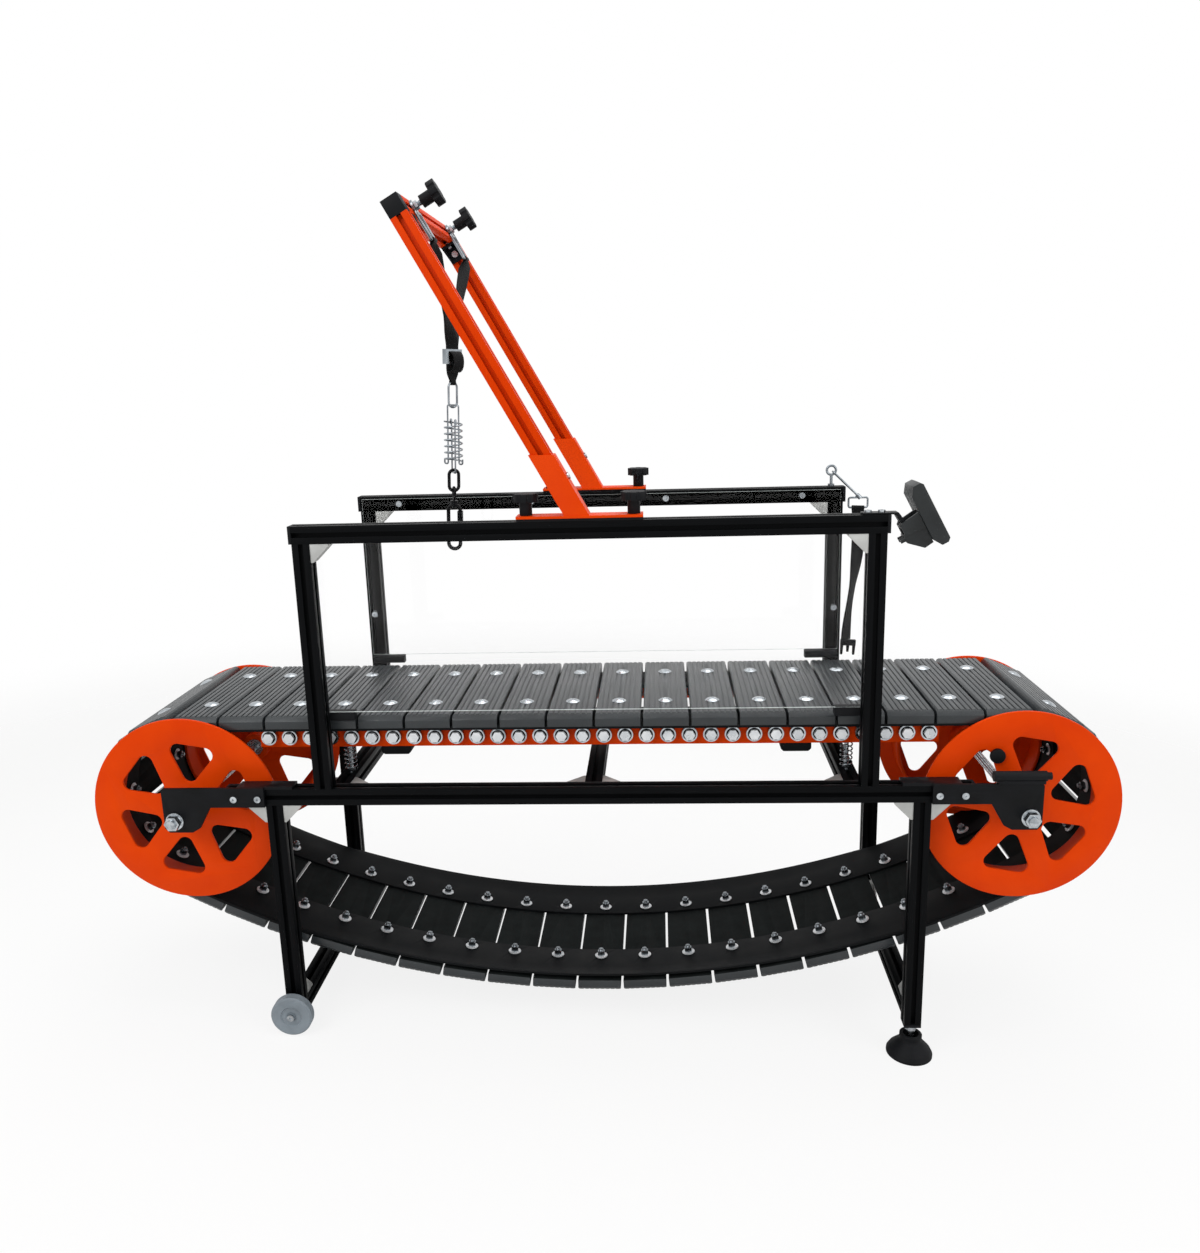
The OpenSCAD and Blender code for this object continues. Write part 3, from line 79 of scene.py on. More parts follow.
bpy.ops.object.camera_add(location=eye)
camera = bpy.context.object
camera.matrix_world = Matrix.Translation(eye) @ Matrix((right, up, -forward)).transposed().to_4x4()
camera.data.sensor_fit = "HORIZONTAL"
camera.data.sensor_width = sensor_w
camera.data.lens = sensor_w * focal_px / image_w
camera.data.clip_end = 100
bpy.context.scene.camera = camera
print("lens:", round(camera.data.lens, 2), "mm")

# %% [markdown]
# ## Finishes
#
# A finish is a small net of nodes that ends in one Principled shader. Colours are written as the sRGB hex
# values that a paint chart gives, so one function turns them to the linear numbers that the shader wants.
# Three more set or link a node's inputs, add a node and start a finish, which keeps each finish short
# enough to read.

# %% Colour and node helpers
finishes = {}


def tint(code):
    channels = [int(code[i : i + 2], 16) / 255 for i in (1, 3, 5)]
    linear = [c / 12.92 if c <= 0.04045 else ((c + 0.055) / 1.055) ** 2.4 for c in channels]
    return (*linear, 1.0)


def feed(tree, node, values):
    for key, value in values.items():
        if isinstance(value, bpy.types.NodeSocket):
            tree.links.new(value, node.inputs[key])
        else:
            node.inputs[key].default_value = value


def add(tree, kind, values=None, **settings):
    made = tree.nodes.new(kind)
    for key, value in settings.items():
        setattr(made, key, value)
    feed(tree, made, values or {})
    return made


def start_finish(name):
    finishes[name] = bpy.data.materials.new(name)
    finishes[name].use_nodes = True
    tree = finishes[name].node_tree
    place = add(tree, "ShaderNodeTexCoord").outputs["Object"]
    return tree, tree.nodes["Principled BSDF"], place


print("node helpers ready")

# %% [markdown]
# ### Patterns
#
# Real surfaces vary a little all over, so a finish has noise of one or more sizes, in its colour, its gloss
# and its relief. Noise uses Object coordinates. Every piece sits at the origin with its place in its mesh, so
# one unit is one metre, and a pattern's scale comes straight from a size in millimetres. Noise stays mostly
# between 0.3 and 0.7, so the colour ramp and the roughness range start and stop there unless a finish says
# otherwise.


# %% Pattern helpers
def per_mm(size):
    return 1000 / size


def noise(tree, place, size, detail):
    values = {"Vector": place, "Scale": per_mm(size), "Detail": detail}
    return add(tree, "ShaderNodeTexNoise", values).outputs["Fac"]


def streaks(tree, place, sizes, detail):
    stretch = {"Vector": place, "Scale": [per_mm(size) for size in sizes]}
    stretched = add(tree, "ShaderNodeMapping", stretch).outputs[0]
    return noise(tree, stretched, 1000, detail)


def mixed(tree, share, first, second):
    return add(tree, "ShaderNodeMix", {"Factor": share, "A": first, "B": second}).outputs[0]


def combine(tree, operation, first, second):
    return add(tree, "ShaderNodeMath", {0: first, 1: second}, operation=operation).outputs[0]


def shades(tree, factor, dark, light, low=0.3, high=0.7):
    ramp = add(tree, "ShaderNodeValToRGB", {"Fac": factor})
    for end, position, code in zip(ramp.color_ramp.elements, (low, high), (dark, light)):
        end.position = position
        end.color = tint(code)
    return ramp.outputs["Color"]


def between(tree, factor, low, high, start=0.3, stop=0.7, **settings):
    span = {"Value": factor, "From Min": start, "From Max": stop, "To Min": low, "To Max": high}
    return add(tree, "ShaderNodeMapRange", span, **settings).outputs["Result"]


def relief(tree, height, strength, depth):
    values = {"Height": height, "Strength": strength, "Distance": depth / 1000}
    return add(tree, "ShaderNodeBump", values).outputs["Normal"]


print("pattern helpers ready")

# %% [markdown]
# ### Anodised bar
#
# The frame is extruded aluminium, anodised black, and the arm is anodised orange. The die leaves faint lines
# along the bar and the anodising has a satin sheen, so the roughness varies in long thin streaks. One finish
# is made for each direction that the bars run in, because the streaks follow the bar.

# %% Anodised bars
die_line, die_run = 1.5, 90


def anodised_bar(name, dark, light, along, shine):
    tree, shader, place = start_finish(name)
    sizes = [die_line] * 3
    sizes[along] = die_run
    lines = streaks(tree, place, sizes, detail=3)
    both = mixed(tree, 0.4, lines, noise(tree, place, size=60, detail=4))
    feed(tree, shader, {
        "Base Color": shades(tree, both, dark, light, high=0.75),
        "Roughness": between(tree, both, 0.34, 0.5),
        "Normal": relief(tree, lines, strength=0.12, depth=0.2),
        "Specular IOR Level": shine,
    })


black = {"dark": "#060708", "light": "#0e0f11", "shine": 0.05}
orange = {"dark": "#d93800", "light": "#e84402", "shine": 0.04}
anodised_bar("black_anodised_lengthways", **black, along=0)
anodised_bar("black_anodised_crossways", **black, along=1)
anodised_bar("black_anodised_upright", **black, along=2)
anodised_bar("orange_anodised_upright", **orange, along=2)
anodised_bar("orange_anodised_crossways", **orange, along=1)
print("anodised bars:", len(finishes))

# %% [markdown]
# ### Orange powder coat
#
# The drum wheels, the deck rails and the arm's brackets are powder coated. The powder melts into a skin with
# a fine orange-peel ripple about 2 mm across. That ripple and slight handling marks break the gloss.

# %% Powder coat
tree, shader, place = start_finish("orange_powder_coat")
peel = noise(tree, place, size=2.2, detail=2)
cloud = noise(tree, place, size=120, detail=5)
feed(tree, shader, {
    "Base Color": shades(tree, cloud, "#de3c00", "#ec4801", high=0.75),
    "Roughness": between(tree, cloud, 0.36, 0.5),
    "Normal": relief(tree, peel, strength=0.1, depth=0.3),
    "Specular IOR Level": 0.07,
})
print("powder coat ready")

# %% [markdown]
# ### Zinc-plated steel
#
# The axles, bearings, screws and bolts are bright zinc on steel: a cool grey metal with small cloudy patches
# where the plating is thinner. A metal's colour is its reflection, so Metallic is 1 and the patches go into
# both colour and roughness.

# %% Zinc plating
tree, shader, place = start_finish("bright_zinc_steel")
cloud = noise(tree, place, size=9, detail=4)
feed(tree, shader, {
    "Base Color": shades(tree, cloud, "#8d9398", "#c9ced2"),
    "Roughness": between(tree, cloud, 0.32, 0.18),
    "Metallic": 1,
})
print("zinc ready")

# %% [markdown]
# ### Grained finishes
#
# Many pieces differ only in colour, gloss and the size of their grain, so one function makes all of these.
# The corner gussets are die cast and tumbled, pale grey with a sandy grain. The deck bolts and the belt's
# washers have a pale zinc-flake coat, half paint and half metal, and the belt's nuts are waxed. Springs,
# rings and the wires of the harness line are drawn wire, a darker grey. The axle plates and the snap hook are
# steel with a smooth black coat. The knobs, caps and the display are moulded nylon with a spark-eroded grain
# about half a millimetre across, and the strips, stops and transport wheels are rubber.
# Each line gives the dark and the light shade, the grain's size and depth in millimetres, the roughness, the
# shine and the share of metal.


# %% Grained finishes
def grained(name, dark, light, grain, depth, rough, shine=0.12, metallic=0.0):
    tree, shader, place = start_finish(name)
    cloud = noise(tree, place, size=40, detail=4)
    feed(tree, shader, {
        "Base Color": shades(tree, cloud, dark, light),
        "Roughness": between(tree, cloud, rough - 0.06, rough + 0.06),
        "Normal": relief(tree, noise(tree, place, grain, detail=3), 0.35, depth),
        "Metallic": metallic,
        "Specular IOR Level": shine,
    })


grained("cast_aluminium", "#a9aaa8", "#c4c5c2", 0.8, 0.12, 0.5, 0.4, 0.55)
grained("pale_zinc_flake", "#c3c8cc", "#eceef0", 0.7, 0.04, 0.3, 0.5, 0.35)
grained("waxed_dark_zinc", "#5d6266", "#8d9398", 0.7, 0.04, 0.28, 0.5, 1.0)
grained("drawn_steel_wire", "#62686d", "#a3a9ae", 1.5, 0.03, 0.24, 0.5, 1.0)
grained("black_coated_plate", "#0a0b0c", "#121316", 1.2, 0.05, 0.42)
grained("satin_display_shell", "#191c1d", "#282b2c", 0.5, 0.06, 0.42, 0.3)
grained("black_nylon", "#0d0e10", "#17181b", 0.6, 0.1, 0.55)
grained("grey_wheel_rubber", "#7c858c", "#909aa2", 0.7, 0.08, 0.6, 0.25)
grained("black_rubber", "#0a0b0c", "#131517", 0.9, 0.12, 0.62, 0.08)
print("finishes so far:", len(finishes))

# %% [markdown]
# ### Slat board
#
# The slats are grooved composite decking in dark grey. Brushing leaves fine lines along each slat, across the
# machine, so the noise is stretched along Y and shows as pale scratches and a soft uneven sheen.

# %% Slat composite
tree, shader, place = start_finish("grooved_composite_slat")
brushed = streaks(tree, place, sizes=(0.9, 45, 0.9), detail=4)
both = mixed(tree, 0.35, brushed, noise(tree, place, size=70, detail=5))
feed(tree, shader, {
    "Base Color": shades(tree, both, "#1d2022", "#3b4043", 0.32, 0.72),
    "Roughness": between(tree, both, 0.28, 0.44),
    "Normal": relief(tree, brushed, strength=0.3, depth=0.3),
    "Specular IOR Level": 0.45,
})
print("slat board ready")

# %% [markdown]
# ### Clear acrylic
#
# The panes are cast acrylic with faint wiping marks that only show in the highlights. Acrylic has an IOR of
# 1.49, which makes each face mirror 4 percent of what is round it. In an all-white studio that veils what is
# behind two panes, so a lower IOR is set, as a photographer flags the light off them.

# %% Acrylic
tree, shader, place = start_finish("clear_cast_acrylic")
wiped = noise(tree, place, size=150, detail=6)
feed(tree, shader, {
    "Base Color": tint("#ffffff"),
    "Roughness": between(tree, wiped, 0.0, 0.02, start=0.35),
    "Transmission Weight": 1,
    "IOR": 1.2,
})
print("acrylic ready")

# %% [markdown]
# ### Nylon webbing
#
# The harness line and the safety strap are nylon webbing. The weave runs with the strap, so this finish reads
# the strap's own UV map: u goes across the strap and v along it, in metres. Two wave textures give the ribs
# along the strap and the weft across it. A wave of scale 1 has about pi bands to the unit.

# %% Webbing finish
rib_gap, weft_gap = 2.5, 1.6
tree, shader, _ = start_finish("black_nylon_webbing")
unrolled = add(tree, "ShaderNodeUVMap", uv_map="UVMap").outputs["UV"]
threads = []
for gap, way in ((rib_gap, "X"), (weft_gap, "Y")):
    values = {"Vector": unrolled, "Scale": per_mm(gap) / pi, "Distortion": 0}
    threads.append(add(tree, "ShaderNodeTexWave", values, bands_direction=way).outputs["Fac"])
weave = combine(tree, "MULTIPLY", *threads)
feed(tree, shader, {
    "Base Color": shades(tree, weave, "#050506", "#131416", 0, 1),
    "Roughness": 0.7,
    "Normal": relief(tree, weave, strength=0.7, depth=0.4),
    "Sheen Weight": 0.06,
    "Specular IOR Level": 0.15,
})
print("webbing ready")

# %% [markdown]
# ## Dressing the solids
#
# Each solid keeps its shape and only swaps its material. The list says which pieces of the machine share a
# finish.

# %% Finishes on the solids
worn_by = {
    "black_anodised_lengthways": ["side_rails", "top_rails"],
    "black_anodised_crossways": ["cross_bars"],
    "black_anodised_upright": ["legs", "uprights"],
    "orange_anodised_upright": ["arm_posts"],
    "orange_anodised_crossways": ["arm_cross_bar"],
    "orange_powder_coat": ["drum_wheels_left", "drum_wheels_right", "deck_rails", "arm_brackets"],
    "bright_zinc_steel": [
        "frame_screws", "axles", "axle_nuts", "slat_bolts", "slat_nuts", "spring_studs",
        "foot_stems", "deck_bearings", "drum_bearings_left", "drum_bearings_right", "arm_screws",
    ],
    "drawn_steel_wire": [
        "eye_bolt", "strap_rings", "tether_fittings", "drawbar_pull", "snap_gate", "safety_hook",
        "deck_springs_left", "deck_springs_right", "tether_spring",
    ],
    "pale_zinc_flake": ["deck_bolts"],
    "cast_aluminium": ["corner_gussets"],
    "black_coated_plate": ["axle_plates", "display_bracket", "swivel_link", "snap_hook"],
    "black_nylon": [
        "rail_end_caps", "pane_brackets", "speed_sensor", "speed_magnet", "arm_caps", "arm_gussets",
        "knob_front_left", "knob_front_right", "knob_rear_left", "knob_rear_right", "knob_top_front",
        "knob_top_rear", "foot_pad_front", "foot_pad_rear",
    ],
    "satin_display_shell": ["display_head"],
    "black_rubber": ["belt_strips", "deck_stops", "tether_strap", "safety_strap"],
    "grey_wheel_rubber": ["transport_wheel_front", "transport_wheel_rear"],
    "grooved_composite_slat": ["slats"],
    "clear_cast_acrylic": ["acrylic_panes"],
}
for finish, wearers in worn_by.items():
    for wearer in wearers:
        nodes[wearer].data.materials.clear()
        nodes[wearer].data.materials.append(finishes[finish])
print("dressed:", sum(len(w) for w in worn_by.values()), "of", len(nodes))

# %% [markdown]
# ### Sawn edges of the panes, with a painted highlight
#
# The panes are sawn from sheet and their narrow edges aren't polished. These are finely frosted, and their
# pale colour is also a painted highlight: the bright line that light makes where a pane ends in the open.
# The broad faces look along Y, and every other face is an edge.

# %% Pane edges with a painted highlight
# The pale edge colour is partly frosting and partly a painted highlight.
grained("frosted_edge_painted_highlight", "#bcc7c5", "#e2e9e7", 0.8, 0.1, 0.4, 0.5)
pane_mesh = nodes["acrylic_panes"].data
pane_mesh.materials.append(finishes["frosted_edge_painted_highlight"])
edge_faces = [face for face in pane_mesh.polygons if abs(face.normal.y) < 0.5]
for face in edge_faces:
    face.material_index = 1
print("sawn pane edges:", len(edge_faces), "of", len(pane_mesh.polygons), "faces")

# %% [markdown]
# ## Places on the slope
#
# The machine is drawn level and then stands on a slope of 2.6 degrees, low at the wheels. Sizes along the
# machine are easiest to give in millimetres in the level machine, so one function carries such a point to
# its place above the floor, in metres, and another carries a point back. A third only turns millimetres to
# metres, for pieces that are made round the origin or given in the floor's own frame.

# %% Slope
slope = radians(2.6)
slope_shift = Vector((18.3266, 0, 38.6558))
tilt_up = Matrix.Rotation(-slope, 3, "Y")
tilt_back = Matrix.Rotation(slope, 3, "Y")


def on_slope(x, y, z):
    return (tilt_up @ Vector((x, y, z)) + slope_shift) / 1000


def off_slope(point):
    return tilt_back @ (point * 1000 - slope_shift)


def metres(*sizes):
    return Vector([size / 1000 for size in sizes])


axle_x, axle_z = 745, 404
for x in (-axle_x, axle_x):
    print("drum axle at", [round(v, 4) for v in on_slope(x, 0, axle_z)])

# %% [markdown]
# ## Springs
#
# Four springs carry the bearing deck, and one in the harness line takes up the dog's pull. A spring is round
# wire wound on a mandrel. In Blender that is a circle for the wire, placed at the coil's radius, and a Screw
# modifier that sweeps it round and up. The open wire ends are filled.

# %% Winding a spring
wire_sides, steps_per_turn = 12, 28


def wind_spring(name, foot, lean, coil_r, wire, length, turns):
    wire_r = wire / 2000
    start = (coil_r / 1000, 0, wire_r)
    bpy.ops.object.select_all(action="DESELECT")
    bpy.ops.mesh.primitive_circle_add(
        vertices=wire_sides, radius=wire_r, location=start, rotation=(pi / 2, 0, 0)
    )
    spring = bpy.context.object
    spring.name = name
    bpy.ops.object.transform_apply(location=True, rotation=True, scale=True)
    winding = spring.modifiers.new("winding", "SCREW")
    winding.axis = "Z"
    winding.angle = turns * 2 * pi
    winding.screw_offset = (length - wire) / 1000
    winding.steps = winding.render_steps = round(turns * steps_per_turn)
    bpy.ops.object.modifier_apply(modifier="winding")
    bpy.ops.object.mode_set(mode="EDIT")
    bpy.ops.mesh.select_mode(type="EDGE")
    bpy.ops.mesh.select_all(action="DESELECT")
    bpy.ops.mesh.select_non_manifold()
    bpy.ops.mesh.fill_holes(sides=0)
    bpy.ops.mesh.select_all(action="SELECT")
    bpy.ops.mesh.normals_make_consistent(inside=False)
    bpy.ops.object.mode_set(mode="OBJECT")
    spring.matrix_world = Matrix.Translation(foot) @ Matrix.Rotation(-lean, 4, "Y")
    bpy.ops.object.transform_apply(location=True, rotation=True, scale=True)
    bpy.ops.object.shade_smooth_by_angle(angle=radians(40))
    spring.data.materials.append(finishes["drawn_steel_wire"])
    return spring


print("spring winder ready,", steps_per_turn, "steps to a turn")

# %% [markdown]
# The deck springs stand square to the slope, between the side rails and the deck. The line spring hangs
# plumb below the strap wire, so it is placed from that wire.

# %% Deck and line springs
deck_coil = {"coil_r": 10.2, "wire": 2.5, "length": 53.4, "turns": 6}
deck_spring_x, deck_spring_y, deck_spring_z, deck_drop = 450, 136, 460.3, 6
for end, x in (("left", -deck_spring_x), ("right", deck_spring_x)):
    for near, y in (("front", -deck_spring_y), ("rear", deck_spring_y)):
        foot = on_slope(x, y, deck_spring_z)
        spring = wind_spring(f"deck_spring_{end}_{near}", foot, slope, **deck_coil)
        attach(spring, "frame")
        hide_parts(f"deck_springs_{end}")
        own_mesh(spring)

wire_place = on_slope(-236.5, 0, 1375.5179)
line_coil = {"coil_r": 16, "wire": 3, "length": 76, "turns": 6.5}
line_coil_drop, line_pull = 370.1, 30
foot = wire_place - metres(0, 0, line_coil_drop)
spring = wind_spring("line_spring", foot, 0, **line_coil)
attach(spring, "tether")
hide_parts("tether_spring")
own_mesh(spring)
print("line spring foot at", [round(v, 4) for v in foot], "faces:", len(spring.data.polygons))

# %% [markdown]
# ## Harness webbing
#
# The harness line starts as one Y of nylon webbing. Each arm is folded over a wire ring under a top knob and
# sewn to itself, and both come together in a steel slide. Webbing is a flat band of constant width, so it is
# made directly: a grid of small faces whose rows are laid along the strap's run. A run is a list of rows,
# each with its centre, the direction across the strap and the width. The grid's UV map keeps the true
# distance along and across the strap for the weave. Solidify gives the thickness and a bevel rounds the
# selvedge.

# %% Laying webbing
web_w, web_thick, selvedge_r = 25, 1.6, 0.5


def lay_webbing(name, run):
    bpy.ops.object.select_all(action="DESELECT")
    rows = len(run)
    bpy.ops.mesh.primitive_grid_add(x_subdivisions=4, y_subdivisions=rows - 1, size=1)
    strap = bpy.context.object
    strap.name = name
    along = [0.0]
    for (a, _, _), (b, _, _) in zip(run, run[1:]):
        along.append(along[-1] + (b - a).length)
    spot = []
    for corner in strap.data.vertices:
        row = round((corner.co.y + 0.5) * (rows - 1))
        centre, across, width = run[row]
        spot.append((corner.co.x * width, along[row]))
        corner.co = centre + across * (corner.co.x * width)
    chart = strap.data.uv_layers.active.data
    for loop in strap.data.loops:
        chart[loop.index].uv = spot[loop.vertex_index]
    wall = strap.modifiers.new("thickness", "SOLIDIFY")
    wall.thickness = web_thick / 1000
    wall.offset = 0
    edge = strap.modifiers.new("selvedge", "BEVEL")
    edge.width = selvedge_r / 1000
    edge.segments = 2
    edge.limit_method = "ANGLE"
    edge.angle_limit = radians(60)
    for step in ("thickness", "selvedge"):
        bpy.ops.object.modifier_apply(modifier=step)
    bpy.ops.object.shade_smooth_by_angle(angle=radians(40))
    strap.data.materials.append(finishes["black_nylon_webbing"])
    print(name, "webbing", round(along[-1], 3), "m")
    return strap


def across_at(angle):
    return Vector((cos(angle), sin(angle), 0))


def blend_in(value, low, high):
    share = min(max((value - low) / (high - low), 0), 1)
    return share * share * (3 - 2 * share)


print("webbing is", web_w, "x", web_thick, "mm")

# %% [markdown]
# Each arm of the Y goes up in one layer, round the ring's wire, and down in a second layer. Webbing can't
# bend edgeways, so it turns on its way down: to the slide's angle just under the ring, then most of the way
# back, and in line with the slide again where the arms meet. Heights are measured from the strap wire.

# %% Arms of the Y
ring_y, ring_loop_r, layer, loop_rows = 150, 3.8, 0.9, 9
arm_low, arm_rows, arm_gap = -186, 15, 12
join_z, spread_z = -160, -3.4
ring_from, ring_step = -50, 35
slide_turn, turn_back = radians(45), 0.75
turn_over, back_over, slide_over = (4, 18), (22, 110), (110, 158)


def arm_run(side):
    run = []

    def put(z, sign):
        y = side * ring_y * min(max((z - join_z) / (spread_z - join_z), 0), 1)
        back = blend_in(-z, *back_over) - blend_in(-z, *slide_over)
        faced = blend_in(-z, *turn_over) - turn_back * back
        across = across_at(pi / 2 + (slide_turn - pi / 2) * faced)
        out = Vector((across.y, -across.x, 0)) * sign * layer
        run.append((wire_place + (Vector((0, y, z)) + out) / 1000, across, web_w / 1000))

    for row in range(arm_rows):
        put(arm_low + row * arm_gap, 1)
    for row in range(loop_rows):
        angle = radians(ring_from + row * ring_step)
        spot = Vector((ring_loop_r * cos(angle), side * ring_y, ring_loop_r * sin(angle)))
        run.append((wire_place + spot / 1000, Vector((0, 1, 0)), web_w / 1000))
    for row in reversed(range(arm_rows)):
        put(arm_low + row * arm_gap, -1)
    return run


print("rows in an arm:", len(arm_run(1)))

# %% [markdown]
# Below the slide the doubled end goes round the oval ring, gathered narrow by its wire, and the loose end is
# folded back on itself in a soft bulge.

# %% Tail and fold
tail_top, tail_rows, tail_gap = -158, 7, 9
oval_z, oval_loop_r, oval_from, oval_step = -226, 4.4, 140, 32.5
gathered, gather_over = 16, (208, 224)
fold_rows, fold_top, fold_half, fold_bulge = 17, -172, 18, 13
fold_gap, fold_lean, fold_narrow = 2.6, 4, 4


def tail_run():
    run = []
    across = across_at(slide_turn)
    out = Vector((-across.y, across.x, 0))

    def put(z, offset):
        width = web_w - gathered * blend_in(-z, *gather_over)
        run.append((wire_place + (Vector((0, 0, z)) + out * offset) / 1000, across, width / 1000))

    for row in range(tail_rows):
        put(tail_top - row * tail_gap, layer)
    for row in range(loop_rows):
        angle = radians(oval_from + row * oval_step)
        put(oval_z + oval_loop_r * sin(angle), -oval_loop_r * cos(angle))
    for row in reversed(range(tail_rows)):
        put(tail_top - row * tail_gap, -layer)
    return run


def fold_run():
    run = []
    across = across_at(slide_turn)
    out = Vector((across.y, -across.x, 0))
    for row in range(fold_rows):
        swing = pi * row / (fold_rows - 1)
        bulge = fold_bulge * sin(swing) ** 0.8
        z = fold_top - fold_half * (1 - cos(swing))
        spot = Vector((0, 0, z)) + out * (fold_gap + bulge) + across * (fold_lean * sin(swing))
        width = web_w - fold_narrow * sin(swing)
        run.append((wire_place + spot / 1000, across, width / 1000))
    return run


for name, run in (
    ("line_strap_front", arm_run(-1)),
    ("line_strap_rear", arm_run(1)),
    ("line_strap_tail", tail_run()),
    ("line_strap_fold", fold_run()),
):
    strap = lay_webbing(name, run)
    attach(strap, "tether")
    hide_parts("tether_strap")

# %% [markdown]
# ## Safety strap
#
# A second strap hangs from the square loop of the clip at the rear corner. It is one length of the same
# webbing, folded over the wire, and it ends in the tongue half of a side-release buckle. It hangs plumb, with
# a slight bow and twist that webbing keeps from the packing. Heights are measured from the loop's wire.

# %% Safety strap
hang = Vector((500.5592, 215, 942.5987)) / 1000
hang_len, hang_rows, hang_gap = 275, 24, 11.5
hang_loop_r, hang_from, hang_step = 3.3, -60, 37.5
tuck_top, tuck_rows, tuck_gap = -11, 5, 14
long_layer, tuck_layer = 0.65, -1.1
bow_out, bow_turn = 5, 1.6 * pi
twist, twist_over = radians(52), (70, 170)
untwist, untwist_over = radians(20), (190, hang_len)


def safety_run():
    run = []

    def put(z, offset):
        turned = twist * blend_in(-z, *twist_over) - untwist * blend_in(-z, *untwist_over)
        across = across_at(turned)
        bow = Vector((bow_out * sin(bow_turn * min(-z / hang_len, 1)), 0, z))
        out = Vector((-across.y, across.x, 0)) * offset
        run.append((hang + (bow + out) / 1000, across, web_w / 1000))

    for row in range(hang_rows):
        put(-hang_len + row * hang_gap, long_layer)
    for row in range(loop_rows):
        angle = radians(hang_from + row * hang_step)
        spot = Vector((0, hang_loop_r * cos(angle), hang_loop_r * sin(angle)))
        run.append((hang + spot / 1000, Vector((1, 0, 0)), web_w / 1000))
    for row in range(tuck_rows):
        put(tuck_top - row * tuck_gap, tuck_layer)
    return run


strap = lay_webbing("safety_webbing", safety_run())
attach(strap, "safety")
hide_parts("safety_strap")

# %% [markdown]
# The buckle half is moulded nylon: a wide bar that the webbing goes round, a middle guide and two springy
# arms. A cube is the start. It is cut into small faces, the arms are extruded from its lower face and drawn
# in at their ends, and a bevel rounds it all.

# %% Buckle tongue
tongue_size, tongue_drop, tongue_round = (31, 9, 12), 281, 1
prongs = ((-16, -9, 20), (-3.2, 3.2, 14), (9, 16, 20))
prong_half, prong_taper = 3, (0.75, 0.8, 1)
bpy.ops.object.select_all(action="DESELECT")
bpy.ops.mesh.primitive_cube_add(size=1, location=hang - metres(0, 0, tongue_drop))
tongue = bpy.context.object
tongue.name = "safety_buckle"
tongue.scale = metres(*tongue_size)
bpy.ops.object.transform_apply(location=True, rotation=True, scale=True)
bpy.ops.object.mode_set(mode="EDIT")
bpy.ops.mesh.select_mode(type="FACE")
bpy.ops.mesh.select_all(action="SELECT")
bpy.ops.mesh.subdivide(number_cuts=4)
low_z = min(corner.co.z for corner in bmesh.from_edit_mesh(tongue.data).verts)
for x_from, x_to, reach in prongs:
    bpy.ops.mesh.select_all(action="DESELECT")
    net = bmesh.from_edit_mesh(tongue.data)
    for face in net.faces:
        middle = (face.calc_center_median() - hang) * 1000
        underneath = face.normal.z < -0.9 and face.calc_center_median().z < low_z + 1e-5
        face.select = underneath and x_from < middle.x < x_to and abs(middle.y) < prong_half
    bmesh.update_edit_mesh(tongue.data)
    bpy.ops.mesh.extrude_region_move(TRANSFORM_OT_translate={"value": (0, 0, -reach / 1000)})
    bpy.ops.transform.resize(value=prong_taper)
bpy.ops.object.mode_set(mode="OBJECT")
rounding = tongue.modifiers.new("rounding", "BEVEL")
rounding.width = tongue_round / 1000
rounding.segments = 3
rounding.limit_method = "ANGLE"
bpy.ops.object.modifier_apply(modifier="rounding")
bpy.ops.object.shade_smooth_by_angle(angle=radians(40))
tongue.data.materials.append(finishes["black_nylon"])
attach(tongue, "safety")
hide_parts("safety_strap")
print("buckle faces:", len(tongue.data.polygons))

# %% [markdown]
# ## Broken edges
#
# No made part has a knife edge: extrusion dies, moulds and powder coat all leave a small round that catches
# the light. Each of these pieces starts as a copy of its solid. The loose triangles are merged, flat runs of
# them are dissolved into one face, and a bevel rounds what is left of the sharp edges.

# %% Breaking edges
body_of = {node: body for body, held in frame["record"]["behaviour"]["bodies"].items() for node in held}
weld, flat, sharp = 0.01, radians(0.6), radians(38)


def break_edges(node, width):
    bpy.ops.object.select_all(action="DESELECT")
    piece = bpy.data.objects.new(node + "_edged", nodes[node].data.copy())
    bpy.context.scene.collection.objects.link(piece)
    bpy.context.view_layer.objects.active = piece
    piece.select_set(True)
    bpy.ops.object.mode_set(mode="EDIT")
    bpy.ops.mesh.select_all(action="SELECT")
    bpy.ops.mesh.remove_doubles(threshold=weld / 1000)
    bpy.ops.mesh.dissolve_limited(angle_limit=flat)
    bpy.ops.object.mode_set(mode="OBJECT")
    rounding = piece.modifiers.new("rounding", "BEVEL")
    rounding.width = width / 1000
    rounding.segments = 2
    rounding.limit_method = "ANGLE"
    rounding.angle_limit = sharp
    bpy.ops.object.modifier_apply(modifier="rounding")
    bpy.ops.object.shade_smooth_by_angle(angle=sharp)
    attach(piece, body_of[node])
    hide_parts(node)
    return len(piece.data.polygons)


edge_round = {
    "side_rails": 0.5, "top_rails": 0.5, "legs": 0.5, "uprights": 0.5, "cross_bars": 0.5,
    "arm_posts": 0.5, "arm_cross_bar": 0.5, "drum_wheels_left": 1.5, "drum_wheels_right": 1.5,
    "axle_plates": 0.8, "arm_brackets": 1.0, "deck_rails": 0.8, "slats": 0.8, "belt_strips": 0.8,
    "rail_end_caps": 1.0, "arm_caps": 1.4, "pane_brackets": 1.2, "corner_gussets": 0.8,
    "arm_gussets": 0.8, "knob_front_left": 1.6, "knob_front_right": 1.6, "knob_rear_left": 1.6,
    "knob_rear_right": 1.6, "knob_top_front": 1.6, "knob_top_rear": 1.6, "display_head": 1.4,
    "display_bracket": 0.6, "speed_sensor": 1.2, "speed_magnet": 1.5, "deck_stops": 1.5,
    "axle_nuts": 0.7,
}
for node, width in edge_round.items():
    print(node, "faces:", break_edges(node, width))

